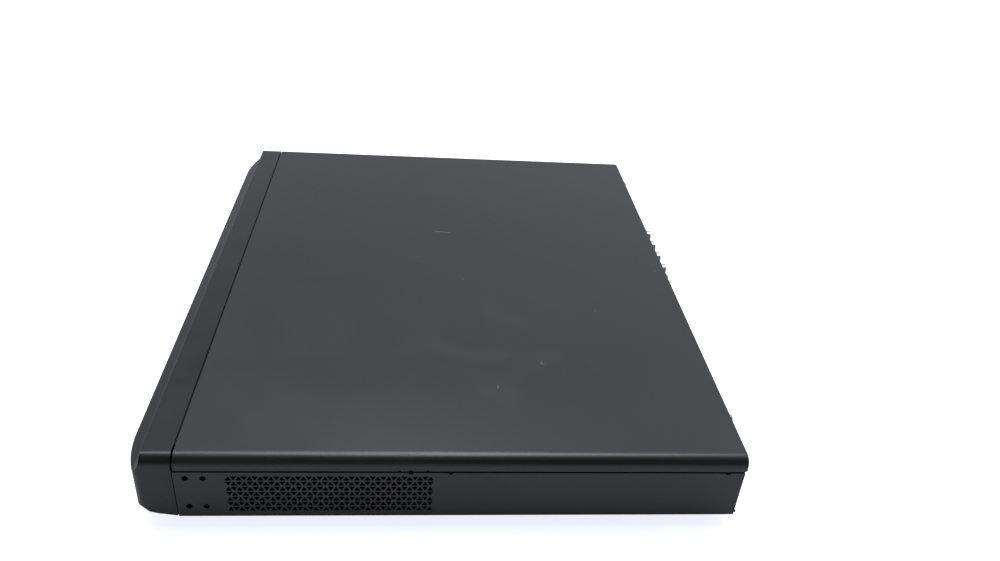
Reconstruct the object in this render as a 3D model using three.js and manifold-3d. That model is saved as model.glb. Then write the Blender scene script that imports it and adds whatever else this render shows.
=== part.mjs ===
// Digital video recorder: a low steel case with a moulded front, a connector panel and its electronics.
// Millimetres, +Z up. The front faces -Y and the connectors face +Y.
// Origin: middle of the footprint, on the surface that the feet stand on.
import * as THREE from 'three';
import { mergeVertices } from 'three/addons/utils/BufferGeometryUtils.js';
import Module from 'manifold-3d';

const wasm = await Module();
wasm.setup();

// ---- Driving dimensions. Y is counted from the seam between bezel and cover, Z from the table. ----
const WIDTH = 375;
const FOOT_H = 8;
const BODY_H = 40.4;
const SHEET = 1;
const BEZEL_DEPTH = 25.1;
const COVER_REAR = 291.7;
const CHASSIS_REAR = 290.5;
const CONNECTOR_REACH = 300.5;
const CLEAR = 0.3;

const HALF = WIDTH / 2;
const BOTTOM = FOOT_H;
const TOP = FOOT_H + BODY_H;
const FLOOR = BOTTOM + SHEET;
const CEILING = TOP - SHEET;

// Side seam between the cover's flange and the chassis wall, and the lip behind it
const SEAM_Z = 39.7;
const SEAM_GAP = 1;
const COVER_EDGE_Z = SEAM_Z + SEAM_GAP / 2;
const WALL_TOP = SEAM_Z - SEAM_GAP / 2;
const LIP_X = HALF - SHEET - 0.4;
const LIP_TOP = 42.6;
const COVER_BEND = 6;
const CHASSIS_BEND = 1.5;

// Vent rows in both side walls
const VENT_ROWS = 7;
const VENT_ROW_PITCH = 3.53;
const VENT_FIRST_Z = 14.13;
const VENT_SLOT_H = 2.33;
const VENT_START = 23.6;
const VENT_END = 128.8;
const VENT_SLOTS = 3;
const VENT_BRIDGE = 2;

// Screw holes for rack ears, two columns of two in each side wall
const EAR_HOLE_R = 1.6;
const EAR_HOLE_YS = [5.7, 14.2];
const EAR_HOLE_ZS = [16, 35.3];

// Small bites in the edges of the seam, left by the folding tools: [y, width, height, side of the seam]
const SEAM_NOTCHES = [
  [110.6, 1.4, 0.8, 'cover'],
  [116.3, 2.2, 1, 'cover'],
  [116.3, 2.2, 1, 'chassis'],
  [124.8, 1.6, 0.8, 'cover'],
  [136.5, 2, 1, 'chassis'],
  [281.3, 3.5, 1.2, 'chassis'],
];

// Rear panel
const PANEL_FRONT = 289.3;
const PANEL_BACK = PANEL_FRONT + SHEET;
const COVER_SCREW_XS = { left: -150, middle: 0, right: 150 };
const COVER_SCREW_Z = 43.7;
const COVER_SCREW_HOLE_R = 1.9;

// Boards
const BOARD_T = 1.6;
const BOARD_Z = 14.5;
const BOARD_TOP = BOARD_Z + BOARD_T;
const ON_BOARD = BOARD_TOP + CLEAR;
const MAIN_X = [-95, 178];
const MAIN_Y = [165, 286];
const POWER_X = [-182, -100];
const POWER_Y = [178, 256];
const MAIN_POSTS = [[-88, 172], [40, 172], [170, 172], [-12, 262], [88, 250], [170, 262]];
const POWER_POSTS = [[-176, 184], [-106, 184], [-176, 250], [-106, 250]];
const POST_R = 3;

// Drive bays, for standard 3.5 inch drives; the right-hand one is empty
const DRIVE = { width: 101.6, length: 147, height: 26.1 };
const DRIVE_Z = 12.6;
const DRIVE_Y = 12;
const BAY_XS = [-172, -56];
const DRIVE_HOLE_R = 1.8;
const DRIVE_HOLE_YS = [41.3, 85.7];
const DRIVE_HOLE_INSET = 3.2;
const DRIVE_PAD_R = 4;

// Camera inputs
const BNC_XS = [-80, -63, -46, -29];
const BNC_ZS = [18.2, 32.6];
const BNC_BUSH_R = 6;

// Fan on the processor
const FAN_X = 42;
const FAN_Y = 222;
const FAN_SIZE = 40;
const SINK_Z = 18.7;
const SINK_H = 12;
const FAN_Z = SINK_Z + SINK_H + CLEAR;
const FAN_H = 10;
const FAN_HUB_R = 9.5;
const FAN_BLADES = 7;

// Rocker switch and mains inlet
const INLET_X = -156;
const INLET_Z = 25;
const SWITCH_X = -119;
const SWITCH_Z = 25;
const ROCKER_Y = 288.5;
const ROCKER_R = 8.2;
const ROCKER_TILT = THREE.MathUtils.degToRad(8);

// Front parts
const LIGHT_XS = [-150, -140, -130];
const REMOTE_X = -112;
const FRONT_USB_X = 150;
const FRONT_Z = 27;

// Feet
const FOOT_R = 10;
const FOOT_INSET_X = 32;
const FOOT_YS = { front: 26, rear: 262 };

// ---- Solids ----
function toSolid(geometry) {
  geometry.deleteAttribute('normal');
  geometry.deleteAttribute('uv');
  const merged = mergeVertices(geometry, 1e-4);
  const index = merged.index.array;
  const triangles = [];
  for (let i = 0; i < index.length; i += 3) {
    const [a, b, c] = [index[i], index[i + 1], index[i + 2]];
    if (a !== b && b !== c && c !== a) triangles.push(a, b, c);
  }
  return new wasm.Manifold(new wasm.Mesh({
    numProp: 3,
    vertProperties: new Float32Array(merged.attributes.position.array),
    triVerts: new Uint32Array(triangles),
  }));
}

function toGeometry(solid) {
  const mesh = solid.getMesh();
  const geometry = new THREE.BufferGeometry();
  geometry.setAttribute('position', new THREE.BufferAttribute(new Float32Array(mesh.vertProperties), 3));
  geometry.setIndex(new THREE.BufferAttribute(new Uint32Array(mesh.triVerts), 1));
  geometry.computeVertexNormals();
  return geometry;
}

function block([x0, x1], [y0, y1], [z0, z1]) {
  const geometry = new THREE.BoxGeometry(x1 - x0, y1 - y0, z1 - z0);
  geometry.translate((x0 + x1) / 2, (y0 + y1) / 2, (z0 + z1) / 2);
  return toSolid(geometry);
}

function outlineShape(points) {
  return new THREE.Shape(points.map(([a, b]) => new THREE.Vector2(a, b)));
}

function extruded(points, depth) {
  return new THREE.ExtrudeGeometry(outlineShape(points), { depth, bevelEnabled: false });
}

// An outline in (x, z), run from y0 to y1
function prismY(points, y0, y1) {
  const geometry = extruded(points, y1 - y0);
  geometry.rotateX(Math.PI / 2);
  geometry.translate(0, y1, 0);
  return toSolid(geometry);
}

// An outline in (y, z), run from x0 to x1
function prismX(points, x0, x1) {
  const geometry = extruded(points, x1 - x0);
  geometry.applyMatrix4(new THREE.Matrix4().set(0, 0, 1, 0, 1, 0, 0, 0, 0, 1, 0, 0, 0, 0, 0, 1));
  geometry.translate(x0, 0, 0);
  return toSolid(geometry);
}

// An outline in (x, y), run from z0 to z1
function prismZ(points, z0, z1) {
  const geometry = extruded(points, z1 - z0);
  geometry.translate(0, 0, z0);
  return toSolid(geometry);
}

// A rod from one point to another
function rod(from, to, radius, segments = 16) {
  const start = new THREE.Vector3(...from);
  const end = new THREE.Vector3(...to);
  const along = end.clone().sub(start);
  const geometry = new THREE.CylinderGeometry(radius, radius, along.length(), segments);
  const up = new THREE.Vector3(0, 1, 0);
  geometry.applyQuaternion(new THREE.Quaternion().setFromUnitVectors(up, along.clone().normalize()));
  geometry.translate(...start.add(end).multiplyScalar(0.5).toArray());
  return toSolid(geometry);
}

// A turned solid about the Y axis, from a profile of [radius, y]
function turned(profile, segments = 16) {
  return toSolid(new THREE.LatheGeometry(profile.map(([r, y]) => new THREE.Vector2(r, y)), segments));
}

function join(...solids) {
  return solids.reduce((sum, solid) => sum.add(solid));
}

function cut(solid, ...tools) {
  return tools.reduce((rest, tool) => rest.subtract(tool), solid);
}

function arc(cx, cy, radius, from, to, steps) {
  const points = [];
  for (let i = 0; i <= steps; i += 1) {
    const angle = THREE.MathUtils.degToRad(from + ((to - from) * i) / steps);
    points.push([cx + radius * Math.cos(angle), cy + radius * Math.sin(angle)]);
  }
  return points;
}

function mirrored(points) {
  return [...points, ...points.map(([a, b]) => [-a, b]).reverse()];
}

function boxOutline([x0, x1], [y0, y1]) {
  return [[x0, y0], [x1, y0], [x1, y1], [x0, y1]];
}

function piece(name, shape, color, roughness, metalness) {
  const geometry = shape instanceof THREE.BufferGeometry ? shape : toGeometry(shape);
  const mesh = new THREE.Mesh(geometry, new THREE.MeshStandardMaterial({ color, roughness, metalness }));
  mesh.name = name;
  return mesh;
}

const PAINT = [0x1a1b1d, 0.62, 0.3];
const PLASTIC = [0x141516, 0.5, 0];
const STEEL = [0xb9bcc0, 0.32, 1];
const GREEN_BOARD = [0x12482c, 0.45, 0.1];
const RUBBER = [0x0f0f10, 0.9, 0];
const ALUMINIUM = [0xa8abb0, 0.4, 1];
const DRIVE_METAL = [0xc3c6c9, 0.38, 0.9];
const TAN_BOARD = [0x9a7a3c, 0.5, 0];
const CAN_SLEEVE = [0x15171c, 0.4, 0];
const YELLOW_TAPE = [0xd8c24a, 0.5, 0];
const RED_JACK = [0xb8332b, 0.45, 0];
const WHITE_JACK = [0xe6e6e2, 0.45, 0];
const GREEN_TERMINAL = [0x2c7a46, 0.5, 0];
const ROCKER_RED = [0x8f1d18, 0.4, 0];
const LIGHT_PIPE = [0xdfe8e4, 0.15, 0];
const DARK_WINDOW = [0x120608, 0.1, 0];
const RED_CABLE = [0xb02a20, 0.5, 0];
const YELLOW_CABLE = [0xc9a227, 0.6, 0];
const BLACK_CABLE = [0x222326, 0.6, 0];
const BROWN_CABLE = [0x6b3a1e, 0.6, 0];
const GREY_RIBBON = [0xb9bbbd, 0.6, 0];

// ---- Case ----
function traySection() {
  const bend = CHASSIS_BEND;
  const inner = bend - SHEET;
  const right = [
    [0, BOTTOM],
    ...arc(HALF - bend, BOTTOM + bend, bend, -90, 0, 4),
    [HALF, WALL_TOP],
    [LIP_X, WALL_TOP],
    [LIP_X, LIP_TOP],
    [LIP_X - SHEET, LIP_TOP],
    [LIP_X - SHEET, WALL_TOP - SHEET],
    [HALF - SHEET, WALL_TOP - SHEET],
    ...arc(HALF - bend, BOTTOM + bend, inner, 0, -90, 2),
    [0, FLOOR],
  ];
  const left = right.slice(1, -1).map(([x, z]) => [-x, z]).reverse();
  return [...right, ...left];
}

function ventSlots() {
  const length = (VENT_END - VENT_START - (VENT_SLOTS - 1) * VENT_BRIDGE) / VENT_SLOTS;
  const tools = [];
  for (let row = 0; row < VENT_ROWS; row += 1) {
    const z = VENT_FIRST_Z + row * VENT_ROW_PITCH;
    for (let slot = 0; slot < VENT_SLOTS; slot += 1) {
      const y = VENT_START + slot * (length + VENT_BRIDGE);
      const zs = [z - VENT_SLOT_H / 2, z + VENT_SLOT_H / 2];
      tools.push(block([-HALF - 1, HALF + 1], [y, y + length], zs));
    }
  }
  return tools;
}

function earHoles() {
  const places = EAR_HOLE_YS.flatMap((y) => EAR_HOLE_ZS.map((z) => [y, z]));
  return places.map(([y, z]) => rod([-HALF - 1, y, z], [HALF + 1, y, z], EAR_HOLE_R, 10));
}

function seamNotches(side) {
  const [z0, z1] = side === 'cover' ? [COVER_EDGE_Z - 1, COVER_EDGE_Z] : [WALL_TOP, WALL_TOP + 1];
  return SEAM_NOTCHES.filter((notch) => notch[3] === side).map(([y, width, height]) => {
    const zs = side === 'cover' ? [z0, z1 + height] : [z0 - height, z1];
    const ys = [y - width / 2, y + width / 2];
    return join(block([LIP_X + 0.1, HALF + 1], ys, zs), block([-HALF - 1, -LIP_X - 0.1], ys, zs));
  });
}

function driveHoles(bayX) {
  const xs = [bayX + DRIVE_HOLE_INSET, bayX + DRIVE.width - DRIVE_HOLE_INSET];
  return xs.flatMap((x) => DRIVE_HOLE_YS.map((y) => [x, DRIVE_Y + y]));
}

function chassisBase() {
  const tray = prismY(traySection(), -0.1, CHASSIS_REAR);
  const frontWall = block([-HALF + 0.5, HALF - 0.5], [1.5, 2.5], [BOTTOM + 0.5, WALL_TOP - 0.5]);
  const root = FLOOR - 0.5;
  const post = ([x, y]) => rod([x, y, root], [x, y, BOARD_Z - CLEAR], POST_R, 8);
  const posts = [...MAIN_POSTS, ...POWER_POSTS].map(post);
  const holes = BAY_XS.flatMap(driveHoles);
  const pads = holes.map(([x, y]) => rod([x, y, root], [x, y, DRIVE_Z - CLEAR], DRIVE_PAD_R, 8));
  const bores = holes.map(([x, y]) => rod([x, y, BOTTOM - 1], [x, y, DRIVE_Z + 1], DRIVE_HOLE_R, 8));
  const cableSlot = block([100, 130], [0, 4], [14, 20]);
  // The lip stops in front of the rear panel, and the wall itself runs on past it
  const lipEnds = [-1, 1].map((side) => block(
    side > 0 ? [LIP_X - 2, HALF + 1] : [-HALF - 1, -LIP_X + 2],
    [PANEL_FRONT - 0.4, CHASSIS_REAR + 1],
    [WALL_TOP - SHEET - 0.01, LIP_TOP + 1],
  ));
  const wallEnds = [-1, 1].map((side) => block(
    side > 0 ? [HALF - SHEET, HALF] : [-HALF, -HALF + SHEET],
    [PANEL_FRONT - 0.5, CHASSIS_REAR],
    [WALL_TOP - SHEET - 0.02, WALL_TOP],
  ));
  const openings = [...bores, ...ventSlots(), ...earHoles(), ...seamNotches('chassis')];
  const body = cut(join(tray, frontWall, ...posts, ...pads), ...openings, ...lipEnds, cableSlot);
  return join(body, ...wallEnds);
}

function coverOutline(inset, bottom) {
  const radius = COVER_BEND - inset;
  const right = [
    [HALF - inset, bottom],
    ...arc(HALF - COVER_BEND, TOP - COVER_BEND, radius, 0, 90, 7),
  ];
  return mirrored(right);
}

function topCover() {
  const shell = prismY(coverOutline(0, COVER_EDGE_Z), 0.5, COVER_REAR);
  const hollow = prismY(coverOutline(SHEET, COVER_EDGE_Z - 1), -1, COVER_REAR - SHEET);
  const slotFoot = COVER_EDGE_Z - 1;
  const notches = Object.values(COVER_SCREW_XS).map((x) => {
    const round = arc(x, COVER_SCREW_Z, COVER_SCREW_HOLE_R, 0, 180, 6);
    const outline = [[x + COVER_SCREW_HOLE_R, slotFoot], ...round, [x - COVER_SCREW_HOLE_R, slotFoot]];
    return prismY(outline, COVER_REAR - 2, COVER_REAR + 1);
  });
  return cut(shell, hollow, ...notches, ...seamNotches('cover'));
}

function coverScrew() {
  const head = rod([0, 0, 0], [0, 1.8, 0], 3, 12);
  const shank = rod([0, -7.5, 0], [0, 0.1, 0], 1.5, 8);
  const slot = block([-2.2, 2.2], [1, 2.5], [-0.4, 0.4]);
  return cut(join(head, shank), slot);
}

// ---- Front bezel ----
const PLAN_FLAT = 158;
const PLAN_R = 71;
const SCOOP_Y = -15.2;
const SCOOP_WALL_Z = 46.9;
const SCOOP_LEDGE_Z = 39.2;
const BEZEL_WALL = 2.2;
const CHIN_TOP_Z = 16.1;
const CHIN_STEP = [3.6, 11.8];
const CHIN_LIP = [7, 10.8];
const CHIN_BACK_Z = 9.3;
const LIGHT_HOLE_R = 1.9;
const USB_HOLE = [13.9, 6.5];
const REMOTE_HOLE = [12.6, 6.6];

function frontY(x) {
  const over = Math.max(0, Math.abs(x) - PLAN_FLAT);
  return -BEZEL_DEPTH + PLAN_R - Math.sqrt(PLAN_R ** 2 - over ** 2);
}

function bezelSection(x) {
  const front = frontY(x);
  return [
    [-0.5, TOP],
    [front, TOP],
    [front, CHIN_TOP_Z],
    [front + CHIN_STEP[0], CHIN_STEP[1]],
    [front + CHIN_LIP[0], CHIN_LIP[1]],
    [-0.5, CHIN_BACK_Z],
  ];
}

// The rebate along the upper front edge: a steep wall that curves into a gently falling ledge
function scoopOutline() {
  const hollow = new THREE.CubicBezierCurve(
    new THREE.Vector2(SCOOP_Y, SCOOP_WALL_Z),
    new THREE.Vector2(SCOOP_Y, SCOOP_WALL_Z - 3.5),
    new THREE.Vector2(SCOOP_Y - 1.6, SCOOP_LEDGE_Z + 1.1),
    new THREE.Vector2(SCOOP_Y - 4.8, SCOOP_LEDGE_Z),
  ).getPoints(5).map((point) => [point.x, point.y]);
  return [
    [SCOOP_Y, TOP + 1],
    ...hollow,
    [-BEZEL_DEPTH - 1, SCOOP_LEDGE_Z - 1.55],
    [-BEZEL_DEPTH - 1, TOP + 1],
  ];
}

// A solid through outlines in (y, z), one at each x
function loft(xs, sectionAt) {
  const sections = xs.map(sectionAt);
  const count = sections[0].length;
  const positions = sections.flatMap((section, i) => section.flatMap(([y, z]) => [xs[i], y, z]));
  const index = [];
  for (let i = 0; i + 1 < xs.length; i += 1) {
    for (let j = 0; j < count; j += 1) {
      const a = i * count + j;
      const b = i * count + ((j + 1) % count);
      index.push(a, b, a + count, b, b + count, a + count);
    }
  }
  const caps = THREE.ShapeUtils.triangulateShape(outlineShape(sections[0]).getPoints(), []);
  const last = (xs.length - 1) * count;
  for (const [a, b, c] of caps) {
    index.push(a, c, b, last + a, last + b, last + c);
  }
  const geometry = new THREE.BufferGeometry();
  geometry.setAttribute('position', new THREE.Float32BufferAttribute(positions, 3));
  geometry.setIndex(index);
  return geometry;
}

function bezelStations() {
  const curved = [0, 6, 12, 18, 24, 29.5].map((step) => PLAN_FLAT + step);
  return [...curved.map((x) => -x).reverse(), ...curved];
}

function frontOpening(x, [width, height]) {
  const xs = [x - width / 2, x + width / 2];
  const zs = [FRONT_Z - height / 2, FRONT_Z + height / 2];
  return prismY(boxOutline(xs, zs), -30, -20);
}

function frontBezel() {
  const whole = toSolid(loft(bezelStations(), bezelSection));
  const outer = cut(whole, prismX(scoopOutline(), -HALF - 1, HALF + 1));
  const rounded = prismY(coverOutline(0, BOTTOM), -40, 5);
  const roomPlan = bezelStations().map((x) => {
    const inset = Math.sign(x) * Math.min(Math.abs(x), HALF - BEZEL_WALL);
    return [inset, frontY(x) + BEZEL_WALL];
  });
  const roomBack = [[HALF - BEZEL_WALL, 1], [-HALF + BEZEL_WALL, 1]];
  const roomLow = prismZ([...roomPlan, ...roomBack], 13.6, 35.4);
  const roomHigh = block([-HALF + 8, HALF - 8], [-12.6, 1], [20, TOP - BEZEL_WALL]);
  const lights = LIGHT_XS.map((x) => rod([x, -30, FRONT_Z], [x, -10, FRONT_Z], LIGHT_HOLE_R, 12));
  const remote = frontOpening(REMOTE_X, REMOTE_HOLE);
  const usb = frontOpening(FRONT_USB_X, USB_HOLE);
  const tongue = block([-176, 176], [-1.5, 6], [TOP - 2.4, TOP - 1.4]);
  return join(cut(outer.intersect(rounded), roomLow, roomHigh, ...lights, remote, usb), tongue);
}

// ---- Rear connectors, each with its outer end towards +Y ----
function bncSocket() {
  const depth = CONNECTOR_REACH - PANEL_FRONT;
  const profile = [
    [0, -0.4],
    [BNC_BUSH_R, -0.4],
    [BNC_BUSH_R, 2.6],
    [4.85, 3],
    [4.85, depth],
    [4.05, depth],
    [4.05, 3.4],
    [2.4, 3.4],
    [2.4, depth - 3],
    [0, depth - 3],
  ];
  return turned(profile, 14);
}

function phonoJack() {
  const profile = [
    [0, -0.4],
    [5, -0.4],
    [5, 2.4],
    [4.1, 2.6],
    [4.1, 9.6],
    [1.7, 9.6],
    [1.7, 3.5],
    [0, 3.5],
  ];
  return turned(profile, 14);
}

function vgaPort() {
  const plate = block([-15.4, 15.4], [-1.6, -0.4], [-6.2, 6.2]);
  const shell = prismY([[-8.2, 3.9], [-7.1, -3.9], [7.1, -3.9], [8.2, 3.9]], -0.6, 6);
  const body = block([-12.2, 12.2], [-14, -1.5], [-2.2, 6.2]);
  const nuts = [-12.5, 12.5].map((x) => rod([x, -0.6, 0], [x, 5, 0], 2.6, 6));
  const threads = [-12.5, 12.5].map((x) => rod([x, 1.5, 0], [x, 6, 0], 1.25, 8));
  return cut(join(plate, shell, body, ...nuts), ...threads);
}

// A folded shell round a tongue, open towards +Y
function shellPort(width, height, depth, tongueT) {
  const [right, top] = [width / 2, height / 2];
  const wall = 0.5;
  const outer = block([-right, right], [-depth, 1.2], [-top, top]);
  const room = block([-right + wall, right - wall], [-depth + 4, 2], [-top + wall, top - wall]);
  const tongue = block([-right + 1.8, right - 1.8], [-depth + 3, 0], [-tongueT / 2, tongueT / 2]);
  return join(cut(outer, room), tongue);
}

function rearUsbPort() {
  const outer = block([-6.7, 6.7], [-16, 1.2], [-7.8, 7.8]);
  const rooms = [-3.9, 3.9].map((z) => block([-6.2, 6.2], [-11, 2], [z - 2.55, z + 2.55]));
  const tongues = [-3.9, 3.9].map((z) => block([-5.2, 5.2], [-12, 0], [z + 0.2, z + 2]));
  return join(cut(outer, ...rooms), ...tongues);
}

function networkPort() {
  const outer = block([-8, 8], [-20, 1], [-6.75, 6.75]);
  const room = block([-5.9, 5.9], [-13, 2], [-4.2, 4.4]);
  const latch = block([-2, 2], [-10, 2], [-6, -4]);
  return cut(outer, room, latch);
}

function alarmTerminal() {
  const ways = 6;
  const pitch = 5.08;
  const half = (ways * pitch) / 2;
  const outline = [[-11, 0], [3.2, 0], [3.2, 8.4], [0.6, 10.6], [0.6, 14], [-11, 14]];
  const body = prismX(outline, -half, half);
  const centres = Array.from({ length: ways }, (_, i) => -half + pitch * (i + 0.5));
  const mouths = centres.map((x) => block([x - 1.6, x + 1.6], [-3, 5], [2.2, 6]));
  return cut(body, ...mouths);
}

function groundScrew() {
  const washer = rod([0, 0.3, 0], [0, 1.2, 0], 4.6, 14);
  const head = rod([0, 1, 0], [0, 3.6, 0], 3.3, 14);
  const shank = rod([0, -6, 0], [0, 1, 0], 1.7, 8);
  const cross = [block([-2, 2], [2.6, 5], [-0.45, 0.45]), block([-0.45, 0.45], [2.6, 5], [-2, 2])];
  return cut(join(washer, head, shank), ...cross);
}

function powerInlet() {
  const body = block([-13.6, 13.6], [-22, 2], [-9.8, 9.8]);
  const flange = block([-15.6, 15.6], [1 + CLEAR, 3], [-11.8, 11.8]);
  const room = prismY([
    [-12, -8.2],
    [12, -8.2],
    [12, 3.8],
    [8.2, 8.2],
    [-8.2, 8.2],
    [-12, 3.8],
  ], -14, 4);
  const blade = ([x, z]) => block([x - 1, x + 1], [-15, -2.5], [z - 2, z + 2]);
  const blades = [[-7, -2], [7, -2], [0, 2.4]].map(blade);
  const ears = [-9, 0, 9].map((x) => block([x - 2.4, x + 2.4], [-28, -21], [-0.4, 0.4]));
  return join(cut(join(body, flange), room), ...blades, ...ears);
}

function switchHousing() {
  const body = block([-6.2, 6.2], [-14, 2], [-9.3, 9.3]);
  const flange = block([-7.5, 7.5], [1 + CLEAR, 3], [-10.5, 10.5]);
  const room = block([-5.2, 5.2], [-4.5, 4], [-8.5, 8.5]);
  const tabs = [-4, 4].map((z) => block([-2.4, 2.4], [-20, -13], [z - 0.4, z + 0.4]));
  return join(cut(join(body, flange), room), ...tabs);
}

function switchRocker() {
  const face = 4.4;
  const outline = [
    ...arc(0, 0, ROCKER_R, 50, 100, 4),
    ...arc(0, 0, ROCKER_R, 260, 310, 4),
    [face, 0],
  ];
  return prismX(outline, -4.9, 4.9);
}

// ---- Panel that the connectors come through ----
const ROW_PORTS = [
  { x: -5, z: 18.2, kind: 'round', size: 5.4 },
  { x: -5, z: 32.6, kind: 'round', size: 5.4 },
  { x: 24, z: 22.4, kind: 'box', size: [17.4, 9] },
  { x: 11.5, z: 22.4, kind: 'round', size: 3.1 },
  { x: 36.5, z: 22.4, kind: 'round', size: 3.1 },
  { x: 56, z: 19.3, kind: 'box', size: [15.8, 6.6] },
  { x: 80, z: 23.2, kind: 'box', size: [16.8, 14.4] },
  { x: 104, z: 24.3, kind: 'box', size: [14.2, 16.4] },
  { x: 134, z: 23.4, kind: 'box', size: [31.4, 14.8] },
  { x: 166, z: 18, kind: 'round', size: 2 },
  { x: INLET_X, z: INLET_Z, kind: 'box', size: [27.8, 20.2] },
  { x: SWITCH_X, z: SWITCH_Z, kind: 'box', size: [13, 19.2] },
];
const AUDIO_X = -5;
const VGA = [24, 22.4];
const HDMI = [56, 19.3];
const NETWORK = [80, 23.2];
const REAR_USB = [104, 24.3];
const ALARM = [134, ON_BOARD];
const GROUND = [166, 18];

function throughPanel({ x, z, kind, size }) {
  if (kind === 'round') return rod([x, PANEL_FRONT - 2, z], [x, PANEL_BACK + 2, z], size, 14);
  const [width, height] = size;
  const outline = boxOutline([x - width / 2, x + width / 2], [z - height / 2, z + height / 2]);
  return prismY(outline, PANEL_FRONT - 2, PANEL_BACK + 2);
}

function rearPanel() {
  const gap = 0.4;
  const right = [
    [HALF - SHEET - gap, FLOOR + gap],
    ...arc(HALF - COVER_BEND, TOP - COVER_BEND, COVER_BEND - SHEET - gap, 0, 90, 5),
  ];
  const sheet = prismY(mirrored(right), PANEL_FRONT, PANEL_BACK);
  const bncSize = BNC_BUSH_R + CLEAR;
  const bncHoles = BNC_XS.flatMap((x) => BNC_ZS.map((z) => ({ x, z, kind: 'round', size: bncSize })));
  const screwHole = { z: COVER_SCREW_Z, kind: 'round', size: COVER_SCREW_HOLE_R };
  const screws = Object.values(COVER_SCREW_XS).map((x) => ({ x, ...screwHole }));
  return cut(sheet, ...[...ROW_PORTS, ...bncHoles, ...screws].map(throughPanel));
}

// ---- Electronics ----
const CELL_R = 10;
const CELL_H = 3.2;

function mainBoard() {
  return block(MAIN_X, MAIN_Y, [BOARD_Z, BOARD_TOP]);
}

function heatSink() {
  const half = 21;
  const fins = 8;
  const finT = 1.4;
  const base = block([-half, half], [-half, half], [0, 3]);
  const parts = Array.from({ length: fins }, (_, i) => {
    const x = -half + ((2 * half - finT) * i) / (fins - 1);
    return block([x, x + finT], [-half, half], [2.5, SINK_H]);
  });
  return join(base, ...parts);
}

function fanFrame() {
  const half = FAN_SIZE / 2;
  const body = block([-half, half], [-half, half], [0, FAN_H]);
  const duct = rod([0, 0, -1], [0, 0, FAN_H + 1], 18.8, 28);
  const corners = [[-16, -16], [16, -16], [-16, 16], [16, 16]];
  const holes = corners.map(([x, y]) => rod([x, y, -1], [x, y, FAN_H + 2], 1.8, 8));
  const hub = rod([0, 0, 0], [0, 0, 1.6], 10, 16);
  const struts = [0, 60, 120].map((angle) => {
    const geometry = new THREE.BoxGeometry(39, 2, 1.4);
    geometry.rotateZ(THREE.MathUtils.degToRad(angle));
    geometry.translate(0, 0, 0.7);
    return toSolid(geometry);
  });
  return join(cut(body, duct, ...holes), hub, ...struts);
}

function fanRotor() {
  const hub = rod([0, 0, 2], [0, 0, 9.2], FAN_HUB_R, 18);
  const blades = Array.from({ length: FAN_BLADES }, (_, i) => {
    const geometry = new THREE.BoxGeometry(9.4, 1.2, 7.6);
    geometry.rotateX(THREE.MathUtils.degToRad(48));
    geometry.translate(13.4, 0, 5.6);
    geometry.rotateZ((i * 2 * Math.PI) / FAN_BLADES);
    return toSolid(geometry);
  });
  return join(hub, ...blades);
}

function powerHeatSink() {
  return prismY([[0, 0], [14, 0], [14, 2], [2, 2], [2, 24], [0, 24]], -22, 22);
}

function hardDrive() {
  const { width, length, height } = DRIVE;
  const body = block([0, width], [0, length], [0, height]);
  const boardRoom = block([8, width - 8], [-1, 62], [-1, 1.6]);
  const connector = block([30, 74], [length - 6, length + 1], [-1, 5]);
  const tongue = block([34, 70], [length - 7, length - 0.6], [2.4, 4]);
  const step = block([-1, width + 1], [-1, length + 1], [height - 2.5, height + 1]);
  const lid = block([4, width - 4], [4, length - 3], [height - 3, height]);
  return join(cut(body, boardRoom, connector, step), tongue, lid);
}

// ---- Leads, each a tube or a flat band along its route ----
function lead(points, section) {
  const stops = points.map((point) => new THREE.Vector3(...point));
  const extrudePath = new THREE.CatmullRomCurve3(stops, false, 'centripetal');
  const steps = Math.max(8, (points.length - 1) * 4);
  return new THREE.ExtrudeGeometry(section, { steps, extrudePath, bevelEnabled: false });
}

function roundSection(radius, sides) {
  return outlineShape(arc(0, 0, radius, 0, 360, sides).slice(0, -1));
}

function flatSection(across, thick) {
  return outlineShape(boxOutline([-across / 2, across / 2], [-thick / 2, thick / 2]));
}

// ---- Assembly ----
const recorder = new THREE.Group();
const CENTRE_Y = (CONNECTOR_REACH - BEZEL_DEPTH) / 2;
recorder.position.y = -CENTRE_Y;

function add(name, shape, [color, roughness, metalness], [x, y, z] = [0, 0, 0]) {
  const mesh = piece(name, shape, color, roughness, metalness);
  mesh.position.set(x, y, z);
  recorder.add(mesh);
  return mesh;
}

add('chassis_base', chassisBase(), PAINT);
add('top_cover', topCover(), PAINT);
add('rear_panel', rearPanel(), PAINT);
add('front_bezel', frontBezel(), PLASTIC);
for (const [side, x] of Object.entries(COVER_SCREW_XS)) {
  add(`cover_screw_${side}`, coverScrew(), STEEL, [x, COVER_REAR + CLEAR, COVER_SCREW_Z]);
}

function foot() {
  const profile = [
    [0, 0],
    [FOOT_R - 1, 0],
    [FOOT_R - 0.2, 0.8],
    [FOOT_R - 1.2, FOOT_H - CLEAR],
    [0, FOOT_H - CLEAR],
  ];
  const geometry = new THREE.LatheGeometry(profile.map(([r, y]) => new THREE.Vector2(r, y)), 20);
  geometry.rotateX(Math.PI / 2);
  const recess = rod([0, 0, -1], [0, 0, 3.4], 4, 12);
  return cut(toSolid(geometry), recess);
}

for (const [place, y] of Object.entries(FOOT_YS)) {
  for (const [side, sign] of [['left', -1], ['right', 1]]) {
    add(`foot_${place}_${side}`, foot(), RUBBER, [sign * (HALF - FOOT_INSET_X), y, 0]);
  }
}

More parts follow.
